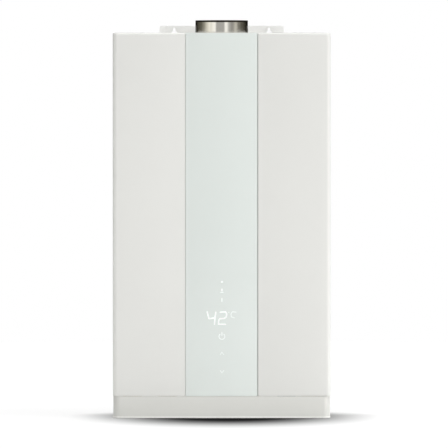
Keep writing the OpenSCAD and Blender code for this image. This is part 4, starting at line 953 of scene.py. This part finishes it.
@piece("gland_rubber", "cord_gland")
def gland(shape):
    """The ribbed rubber gland for the mains cord."""
    lowest, highest, centre = low("cord_gland"), high("cord_gland"), middle("cord_gland")
    x, y = centre.to_2d()
    foot, top, plate, rim = lowest.z, highest.z, PLATE_FOOT, (highest.x - lowest.x) / 2
    mouth, throat, neck, sheet = 3.6, 3.2, 7.9, PLATE_FOOT + SHEET
    outside = [(mouth, foot), (rim - 1.4, foot), (rim - 0.6, foot + 0.5), (rim, foot + 1.4)]
    outside += [(rim, plate - 0.3), (rim - 0.3, plate), (neck, plate), (neck, sheet), (rim - 2.2, sheet)]
    inside = [(rim - 2.6, plate + 2.4), (rim - 4.2, top), (mouth, top), (throat, sheet), (throat, plate - 1)]
    lathe(shape, outside + inside, (x, y, 0), sides=48, hollow=True)
    radial_ribs(shape, (x, y, foot + 1.2), UP, count=24, inner=rim - 0.6, outer=rim, length=1.4, width=1.1)


# Control board, with places from its lower left corner and out from its face

BOARD_LOW, BOARD_HIGH = low("control_board"), high("control_board")
BOARD_FACE = BOARD_HIGH.y - 6.0
BOARD_W = BOARD_HIGH.x - BOARD_LOW.x
BOARD_H = BOARD_HIGH.z - BOARD_LOW.z


def on_board(x, z, out):
    return (BOARD_LOW.x + x, BOARD_FACE - out, BOARD_LOW.z + z)


def chip(shape, x, z, width, height, out, foot=0.0, edge=0.3, segments=2):
    """A block on the board."""
    block(shape, on_board(x, z, out), on_board(x + width, z + height, foot), edge, segments)


def pin(shape, x, z, width, height, out, foot=0.0):
    """A thin metal lead on the board."""
    chip(shape, x, z, width, height, out, foot, 0.1, 1)


CORE_X, CORE_Z = 8, BOARD_H - 42
PROCESSOR_X, PROCESSOR_Z = BOARD_W - 28, 34
DRIVERS, DRIVER_Z = (12, 34, 56), 26
RESISTORS, RESISTOR_Z, RESISTOR_OUT = [14 + 4.2 * i for i in range(10)], 63, 1.6
CANS, CAN_Z = (16, 34, 52), 44
PLUG_PITCH = (BOARD_W - 8.0) / 5
PLUGS, PLUG_Z = [8.0 + PLUG_PITCH * i for i in range(5)], 4


@piece("circuit_board", "control_board")
def board_plate(shape):
    chip(shape, 1, 1, BOARD_W - 2, BOARD_H - 2, 0, -1.8, 0.2)


@piece("black_plastic")
def board_tray(shape):
    chip(shape, 0, 0, BOARD_W, BOARD_H, -1.6, -6.0, 0.8)


@piece("zinc_steel", look="lamination")
def transformer_core(shape):
    """A stack of steel plates."""
    size, plate, pitch = 34, 1.1, 1.25
    for i in range(8):
        out = 12.5 - i * pitch
        chip(shape, CORE_X, CORE_Z, size, size, out, out - plate, 0.25, 1)


@piece("white_plastic", look="winding_tape")
def transformer_winding(shape):
    chip(shape, CORE_X + 7, CORE_Z + 5, 20, 24, 15, 0.2, 2.5, 4)


@piece("coil_black")
def board_black_parts(shape):
    """Relays, chips and diodes."""
    relay_z, diode = BOARD_H - 30, [(1.2, 0), (1.5, 0.3), (1.5, 4.7), (1.2, 5)]
    for i in (1, 2, 3):
        x = BOARD_W - 4 - 16 * i
        chip(shape, x, relay_z, 12, 22, 11.7, -0.1, 0.7, 3)
        chip(shape, x + 1.5, relay_z + 1.5, 9, 19, 12, 11.5, 0.25)
    chip(shape, PROCESSOR_X + 1.6, PROCESSOR_Z + 1.6, 16.8, 16.8, 2.6, 0.3, 0.4)
    for x in DRIVERS:
        chip(shape, x, DRIVER_Z, 10, 4.4, 2.0, 0.3)
    for i in range(5):
        lathe(shape, diode, on_board(62 + 5 * i, 62, RESISTOR_OUT), sides=16)


@piece("zinc_steel")
def board_tin_parts(shape):
    """Leads, pins and the ends of the fuse."""
    cap = [(2.5, 0), (2.8, 0.3), (2.8, 4.7), (2.5, 5)]
    for i in range(10):
        at = 2.6 + i * 1.6
        for side in (0, 18.2):
            pin(shape, PROCESSOR_X + side, PROCESSOR_Z + at, 1.8, 0.7, 0.9, 0.1)
            pin(shape, PROCESSOR_X + at, PROCESSOR_Z + side, 0.7, 1.8, 0.9, 0.1)
    for x in DRIVERS:
        for k in range(7):
            pin(shape, x + 0.5 + k * 1.4, DRIVER_Z - 1.1, 0.5, 6.6, 0.8)
    for x in PLUGS:
        for k in range(4):
            pin(shape, x + 2.2 + k * 3, PLUG_Z + 4.6, 0.7, 0.7, 6.5)
    for x in (70, 86):
        lathe(shape, cap, on_board(x, BOARD_H - 46, 3.2), RIGHT, 24)
    for x in RESISTORS:
        ends = [on_board(x, RESISTOR_Z + up, RESISTOR_OUT) for up in (-3.5, 10.5)]
        tube(shape, ends, 0.35, 8)


@piece("ceramic", look="resistor_body")
def board_resistors(shape):
    body = [(0.9, 0), (1.5, 0.5), (1.5, 1.5), (1.2, 2.0), (1.2, 5.0), (1.5, 5.5), (1.5, 6.5), (0.9, 7.0)]
    for x in RESISTORS:
        lathe(shape, body, on_board(x, RESISTOR_Z, RESISTOR_OUT), sides=16)


@piece("ceramic", look="resistor_band")
def board_bands(shape):
    width, end_r, waist_r = 0.6, 1.56, 1.28
    for x in RESISTORS:
        for up, r in ((0.7, end_r), (2.6, waist_r), (3.6, waist_r), (5.7, end_r)):
            lathe(shape, [(r, up), (r, up + width)], on_board(x, RESISTOR_Z, RESISTOR_OUT), sides=16)


@piece("ceramic", look="resistor_body")
def board_small_parts(shape):
    """Rows of small surface parts."""
    left, foot, pitch, row, stagger = 50, 82, 5.4, 5.0, 1.7
    for i in range(9):
        for k in range(3):
            x = left + pitch * i + (k % 2) * stagger
            chip(shape, x, foot + row * k, 2.2, 1.2, 0.8, -0.1, 0.15, 1)


@piece("black_plastic", look="can_sleeve")
def can_sleeves(shape):
    body = [(5.4, 0), (5.9, 0.4), (5.9, 1.4), (5.5, 2.0), (5.9, 2.6), (5.9, 13.0), (5.4, 13.6), (4.4, 13.7)]
    for x in CANS:
        lathe(shape, body, on_board(x, CAN_Z, 0), AHEAD, 32)


@piece("cast_aluminium")
def can_tops(shape):
    for x in CANS:
        cross_head(shape, on_board(x, CAN_Z, 13.5), AHEAD, 4.7, 0.4)


@piece("cast_aluminium")
def heat_sink(shape):
    x, z, height = BOARD_W - 30, 66, 36
    chip(shape, x, z, 24, height, 2.5)
    for i in range(7):
        chip(shape, x + 0.4 + i * 3.6, z, 1.2, height, 13, 2)


@piece("white_plastic")
def plug_shells(shape):
    """Open connector shells on the board, with the plugs that sit in them."""
    width, height, wall = 14, 10, 1.2
    for x in PLUGS:
        rings = []
        for inset, out in ((0, 0), (0, 7), (wall, 7), (wall, 2)):
            left, right = x + inset, x + width - inset
            foot, top = PLUG_Z + inset, PLUG_Z + height - inset
            corners = ((left, foot), (right, foot), (right, top), (left, top))
            rings.append([on_board(*corner, out) for corner in corners])
        loft(shape, rings)
        chip(shape, x + 1.6, PLUG_Z + 1.6, 10.8, 6.8, 9, 2.4, 0.4)
        chip(shape, x + 5, PLUG_Z + 8.3, 4, 2.9, 8.5, 3, 0.4)


# Wiring

TRUNK_X, TRUNK_Y, TRUNK_Z = -122.0, -52.0, 46.0
WIRE_R = 0.85
WIRE_BEND = 8.0


@piece("black_cable")
def wire_trunk(shape):
    """Ribbed conduit along the casing's foot."""
    count, pitch, root, crest = 97, 2.4, 2.6, 3.2
    profile = []
    for i in range(count):
        at = i * pitch
        profile += [(root, at), (crest, at + 0.7), (crest, at + 1.7)]
    lathe(shape, profile, (TRUNK_X, TRUNK_Y, TRUNK_Z), RIGHT, 20)


@piece("white_plastic")
def trunk_clips(shape):
    """Saddles that hold the conduit to the bottom plate."""
    foot = PLATE_FOOT + 0.8
    inner, outer, half, pad = 3.25, 4.4, 3, 5
    ring = [(inner, -half), (outer, -half), (outer, half), (inner, half)]
    for x in (-96, -8, 80):
        lathe(shape, ring, (x, TRUNK_Y, TRUNK_Z), RIGHT, 28, hollow=True)
        block(shape, (x - half, TRUNK_Y - 2, foot), (x + half, TRUNK_Y + 2, TRUNK_Z - 3.4))
        block(shape, (x - pad, TRUNK_Y - 4, foot), (x + pad, TRUNK_Y + 4, foot + 1.6), 0.4)


def board_wires():
    """From the plugs down to the conduit."""
    colours = ("red", "white", "blue", "yellow", "black")
    for i, plug in enumerate(PLUGS):
        for k in range(3):
            x, y, z = on_board(plug + 4 + 3 * k, PLUG_Z + 5, 8.8)
            lane = -67.5 - 0.3 * k
            down = [(x, y, z), (x, lane, z), (x, lane, 55), (x + 3, TRUNK_Y, TRUNK_Z + 2.4)]
            yield colours[(i + k) % 5], down


def far_wires():
    """From the conduit to the sensor, the spark module and the coils, and from the board to the cut-out."""
    for k, colour in enumerate(("red", "black", "yellow")):
        x = 132.5 + 3.5 * k
        start = [(111, TRUNK_Y, TRUNK_Z - 1 + k), (x - 8, TRUNK_Y + 2, TRUNK_Z)]
        yield colour, start + [(x, -30, 52), (x, -16, 82), (x, -4, 82)]
    for k, colour in enumerate(("blue", "white")):
        x = 110 + 5 * k
        start = [(x - 8, TRUNK_Y, TRUNK_Z + 1), (x, TRUNK_Y, TRUNK_Z + 8)]
        yield colour, start + [(x, -34, 120), (x, -22, 200), (x, -22, 243)]
    for level, colour in ((82, "red"), (119, "yellow")):
        for k in (-1, 1):
            z, lane = level + 5 * k, -43 + k
            start = [(-58, -22, z), (-48, -22, z), (lane, -26, z - 14)]
            yield colour, start + [(lane, -40, 56), (-36, TRUNK_Y, TRUNK_Z + 1)]
    for k in range(2):
        y, lane = 4 + 8 * k, -122 + 4 * k
        start = [(-119, y, 392), (-125, y, 392), (-125, y - 4, 370), (-125, y - 8, 250)]
        yield "blue", start + [(lane, -48, 226), (lane, -53, 209)]


def wires(shape, colour):
    """All the wires of a colour."""
    for named, points in [*board_wires(), *far_wires()]:
        if named == colour:
            tube(shape, bent(points, WIRE_BEND), WIRE_R, 10)


for tone in WIRES:
    make(f"wires_{tone}", lambda shape: wires(shape, tone), "black_cable", look=f"wire_{tone}")


# Fan, gas and water

FAN = middle("impeller")
VALVE = middle("gas_valve_body")
VALVE_LEFT = low("gas_valve_body").x
VALVE_FACE = VALVE_LEFT - 1.6
VALVE_PLATE_Z = 98
SENSOR = middle("flow_turbine")
COILS = [middle(node) for node in ("main_coil", "proportional_coil")]
SMALL_HEAD_R = 2.6
FAN_HEAD_R = 2.8
SHELL_X = high("exchanger_shell").x - 8
SHELL_FRONT = low("exchanger_shell").y + 8


@piece("motor_paint")
def motor_parts(shape):
    """Cooling ribs round the motor, and the cap and ribs on its front."""
    front, ears = low("fan_motor").y, high("fan_motor").y - 3.0
    cap = [(10, -0.2), (10, 1.6), (9.2, 2.4), (4.2, 2.4), (3.6, 1.4)]
    radial_ribs(shape, (FAN.x, front + 9.5, FAN.z), REARWARD, count=40, inner=31.4, outer=33.2,
                length=ears - front - 11, width=2.0)
    lathe(shape, cap, (FAN.x, front, FAN.z), AHEAD, 40)
    radial_ribs(shape, (FAN.x, front - 0.9, FAN.z), REARWARD, count=16, inner=12.0, outer=25.0,
                length=1.2, width=1.6)


@piece("zinc_steel")
def fan_fixings(shape):
    """Screws in the motor's front, its ears and the fan's front plate."""
    front, plate = low("fan_motor").y, low("blower_front_plate").y
    square, height = (45, 135, 225, 315), 2.0
    rings = ((square, 22, front, SMALL_HEAD_R), (square, 35.6, plate - 3, FAN_HEAD_R),
             ((10, 60, 125, 180, 225, 270, 320), 56, plate, FAN_HEAD_R))
    for angles, reach, y, radius in rings:
        for a in map(radians, angles):
            spot = (FAN.x + reach * cos(a), y, FAN.z + reach * sin(a))
            cross_head(shape, spot, AHEAD, radius, height)


@piece("cast_aluminium")
def valve_plate(shape):
    """The end plate of the gas valve, with its cap."""
    y, z, half_y, half_z = VALVE.y, VALVE_PLATE_Z, 24, 30
    block(shape, (VALVE_FACE, y - half_y, z - half_z), (VALVE_LEFT + 0.1, y + half_y, z + half_z), 0.5)
    lathe(shape, [(9, 0), (9, 2.2), (8, 3.0), (2.5, 3.0)], (VALVE_LEFT - 1.5, y, z), LEFT, 40)


@piece("zinc_steel")
def valve_fixings(shape):
    for y in (VALVE.y - 20, VALVE.y + 20):
        for up in (-26, 0, 26):
            cross_head(shape, (VALVE_FACE, y, VALVE_PLATE_Z + up), LEFT, SMALL_HEAD_R, 1.8)


@piece("zinc_steel")
def coil_yokes(shape):
    """Steel frames around the coils, with their terminals."""
    half, wall, half_h, tab_y = 20, 1.1, 11, -22
    face, root = low("main_coil").y, high("main_coil").y
    for x, _, z in COILS:
        left, right, foot, top = x - half, x + half, z - half_h, z + half_h
        block(shape, (left, face - 1.2, foot), (right, face - 0.1, top))
        block(shape, (left, face - 1.0, foot), (left + wall, root, top))
        block(shape, (right - wall, face - 1.0, foot), (right, root, top))
        hex_nut(shape, (x, face - wall, z), AHEAD, across=10, height=2.2, bore=3)
        for tab in (z - 5, z + 5):
            block(shape, (right - 0.5, tab_y - 0.4, tab - 2.4), (right + 7, tab_y + 0.4, tab + 2.4), 0.15, 1)


@piece("brass")
def brass_parts(shape):
    """Union nuts on the pipes, and test nipples on the valve."""
    height, bore = 12, 6.9
    hot = middle("hot_outlet")
    nuts = (
        ((SENSOR.x, SENSOR.y, high("flow_sensor_body").z - 1), UP, 22),
        ((hot.x, hot.y, high("hot_outlet").z - 1), UP, 22),
        ((VALVE.x, VALVE.y, high("gas_valve_body").z - 1), UP, 22),
        ((VALVE.x, -54, 247), UP, 19),
        ((111, -32, 465), RIGHT, 20),
        ((-111, 48, 465), LEFT, 13.5),
    )
    for centre, axis, across in nuts:
        hex_nut(shape, centre, axis, across, height, bore)
    nipple = [(3.6, -0.5), (3.6, 3.5), (2.2, 4.2), (2.2, 6), (2.8, 6.8), (2.8, 8.2), (2, 9.2), (1.2, 9.2)]
    for x in (VALVE.x - 28, VALVE.x + 28):
        lathe(shape, nipple, (x, low("gas_valve_body").y, 70), AHEAD, 28)


@piece("black_plastic")
def sensor_bands(shape):
    """Bands round the flow sensor, and its plug."""
    band = [(15.5, 0), (16.9, 0.5), (16.9, 4.0), (15.5, 4.5)]
    for z in (55, 104):
        lathe(shape, band, (SENSOR.x, SENSOR.y, z), sides=48)
    block(shape, (130, -5.5, 77), (142.5, -1.5, 87), 0.5)


def wall_bead(shape, side, start, z, width, height):
    """A pressed rib on the exchanger's or the burner case's side wall."""
    x, end = side * (SHELL_X - 0.1), 46
    bead(shape, (x, start, z), (x, end, z), (side, 0, 0), width, height)


def front_bead(shape, z, width, height):
    """A pressed rib on the exchanger's or the burner case's front."""
    half, y = 84, SHELL_FRONT + 0.1
    bead(shape, (-half, y, z), (half, y, z), AHEAD, width, height)


@piece("copper")
def shell_beads(shape):
    for z in (368, 392, 416):
        front_bead(shape, z, 11, 1.4)
    for side in (-1, 1):
        for z in (360, 424):
            wall_bead(shape, side, -30, z, 11, 1.4)


@piece("hot_sheet")
def case_beads(shape):
    """The burner case's ribs, shorter beside the spark module."""
    front_bead(shape, 304, 10, 1.3)
    for z in (258, 306):
        wall_bead(shape, -1, -30, z, 10, 1.3)
        wall_bead(shape, 1, 8, z, 10, 1.3)


# Solids that still show

NO_SOFTENING = {
    "exchanger_fins", "gas_nozzles", "burner_bars", "impeller", "exchanger_tubes", "cold_pipe", "hot_pipe",
    "gas_pipe", "ignition_lead", "motor_lead", "display_light_guides", "flow_turbine",
}


def dress_solids():
    """Give each solid its look, and softer edges where it shows."""
    gap, rounding = 0.01 * MM, 0.35 * MM
    flat, sharp = radians(0.5), radians(40)
    for name, solid in nodes.items():
        solid.data.materials.clear()
        solid.data.materials.append(looks[slot_of[name]])
        if solid.hide_render or name in NO_SOFTENING:
            continue
        modify(solid, "weld", "WELD", merge_threshold=gap)
        modify(solid, "flats", "DECIMATE", decimate_type="DISSOLVE", angle_limit=flat)
        modify(solid, "edges", "BEVEL", width=rounding, segments=2, limit_method="ANGLE", angle_limit=sharp)
        modify(solid, "normals", "WEIGHTED_NORMAL", keep_sharp=False)


# Stage: floor, camera and light, in metres

# A photo pixel in millimetres, the photo's width, and the pixels of the heater's middle and foot
PIXEL = 1.515
PHOTO = 448
CENTRE_PIXEL = 221.65
FOOT_PIXEL = 418.4


def floor_look():
    """A pale floor. What the camera sees of it has a soft oval shade under the heater."""
    pale, dark = srgb("f9f9f9"), (0, 0, 0, 1)
    across, ahead, behind, aside = 0.166, 0.256, 0.11, 0.01
    darkest, shade_start, shade_end, unseen_level = 0.015, 0.5, 1.55, 0.8
    even_share, even_level = 0.6, 1.12
    shader = new_look("floor", pale, 0.9)
    place = axes(shader)
    side = sums("DIVIDE", sums("SUBTRACT", place["X"], aside), across)
    depth = sums("MAXIMUM", sums("DIVIDE", place["Y"], -ahead), sums("DIVIDE", place["Y"], behind))
    oval = sums("SQRT", sums("MULTIPLY_ADD", side, side, sums("MULTIPLY", depth, depth)))
    lit = spread(oval, darkest, 1.0, shade_start, shade_end)
    lit.node.interpolation_type = "SMOOTHSTEP"
    seen = shader_node(shader, "LightPath", {}).outputs["Is Camera Ray"]
    unseen = sums("SUBTRACT", 1.0, seen)
    shown = sums("MAXIMUM", lit, sums("MULTIPLY", unseen, unseen_level))
    even = sums("MULTIPLY", seen, even_share)
    rest = sums("MULTIPLY", shown, sums("SUBTRACT", 1.0, even))
    feed(shader, {
        "Specular IOR Level": 0.0,
        "Base Color": tint(rest, dark, pale, 0.0, 1.0),
        "Emission Color": tint(shown, dark, pale, 0.0, 1.0),
        "Emission Strength": sums("MULTIPLY", even, even_level),
    })


def floor_disc():
    """A round floor."""
    sides, radius = 96, 2.6
    floor_look()
    shape = bmesh.new()
    bmesh.ops.create_circle(shape, cap_ends=True, segments=sides, radius=radius)
    mesh_thing("floor", shape, looks["floor"])


def camera():
    """A long lens in front of the heater, a little above it."""
    distance, lift = 15.0, radians(1.8)
    view_width = PIXEL * PHOTO * MM
    aim = Vector((0, FRONT, (FOOT_PIXEL - PHOTO / 2) * PIXEL)) * MM
    data = bpy.data.cameras.new("camera")
    data.sensor_width = 36
    data.lens = data.sensor_width * distance / view_width
    data.shift_x = (PHOTO / 2 - CENTRE_PIXEL) / PHOTO
    data.clip_end = 100
    eye = placed("camera", data)
    eye.location = aim + Vector((0, -cos(lift), sin(lift))) * distance
    eye.rotation_euler = (pi / 2 - lift, 0, 0)
    scene.camera = eye


def world():
    """An even room, white where it is seen or mirrored."""
    ambient = 0.31
    room = bpy.data.worlds.new("room")
    scene.world = room
    room.use_nodes = True
    back = room.node_tree.nodes["Background"]
    rays = shader_node(back, "LightPath", {}).outputs
    seen = sums("MAXIMUM", rays["Is Camera Ray"], rays["Is Glossy Ray"])
    seen = sums("MAXIMUM", seen, rays["Is Transmission Ray"])
    feed(back, {"Color": (1, 1, 1, 1), "Strength": spread(seen, ambient, 1.0, 0.0, 1.0)})


def lamp(name, azimuth, height, strength, softness):
    """A soft far lamp, with angles in degrees. Its azimuth runs from the front to the right."""
    data = bpy.data.lights.new(name, "SUN")
    data.energy = strength
    data.angle = radians(softness)
    placed(name, data).rotation_euler = (radians(90 - height), 0, radians(azimuth))


# Each card's angle from the front to the right, in degrees, and its brightness
CARDS = (
    (-180, 0.1), (-120, 0.11), (-100, 0.14), (-82, 0.35), (-66, 0.8), (-54, 1.08), (-48, 0.9), (-40, 1.1),
    (-28, 1.15), (-23, 0.47), (0, 0.48), (11, 0.5), (15, 1.15), (24, 1.1), (30, 0.6), (44, 0.34), (54, 0.38),
    (60, 0.55), (68, 0.52), (76, 0.24), (96, 0.12), (130, 0.05), (180, 0.04),
)


def card_look():
    """Light in the colours of the cards' corners."""
    look = bpy.data.materials.new("cards")
    look.use_nodes = True
    own = look.node_tree.nodes
    own.remove(own["Principled BSDF"])
    output = own["Material Output"]
    shade = shader_node(output, "VertexColor", {})
    shade.layer_name = "card"
    glow = shader_node(output, "Emission", {"Color": shade.outputs["Color"]})
    feed(output, {"Surface": glow.outputs["Emission"]})
    return look


def reflector_ring():
    """Upright cards that only mirrored light meets, warmer at the sides."""
    radius, foot, top = 3.0, -0.6, 2.4
    warm_start, warm_run, less_green, less_blue, blue = 30, 80, 0.045, 0.25, 0.965
    shape = bmesh.new()
    paint = shape.verts.layers.float_color.new("card")
    rows = []
    for angle, level in CARDS:
        a = radians(angle)
        pair = [shape.verts.new((radius * sin(a), -radius * cos(a), z)) for z in (foot, top)]
        warm = min(1.0, max(0.0, (abs(angle) - warm_start) / warm_run))
        for corner in pair:
            corner[paint] = (level, level * (1.0 - less_green * warm), level * (blue - less_blue * warm), 1)
        rows.append(pair)
    for a, b in zip(rows, rows[1:]):
        shape.faces.new((a[0], b[0], b[1], a[1]))
    ring = mesh_thing("reflector_ring", shape, card_look())
    for kind in ("camera", "diffuse", "shadow", "transmission", "volume_scatter"):
        setattr(ring, f"visible_{kind}", False)


dress_solids()

floor_disc()
camera()
world()
lamp("key", azimuth=72, height=18, strength=1.5, softness=40)
lamp("fill", azimuth=-35, height=8, strength=0.4, softness=60)
lamp("overhead", azimuth=165, height=62, strength=1.05, softness=55)
lamp("front", azimuth=10, height=66, strength=0.94, softness=50)
reflector_ring()
scene.view_settings.view_transform = "Standard"
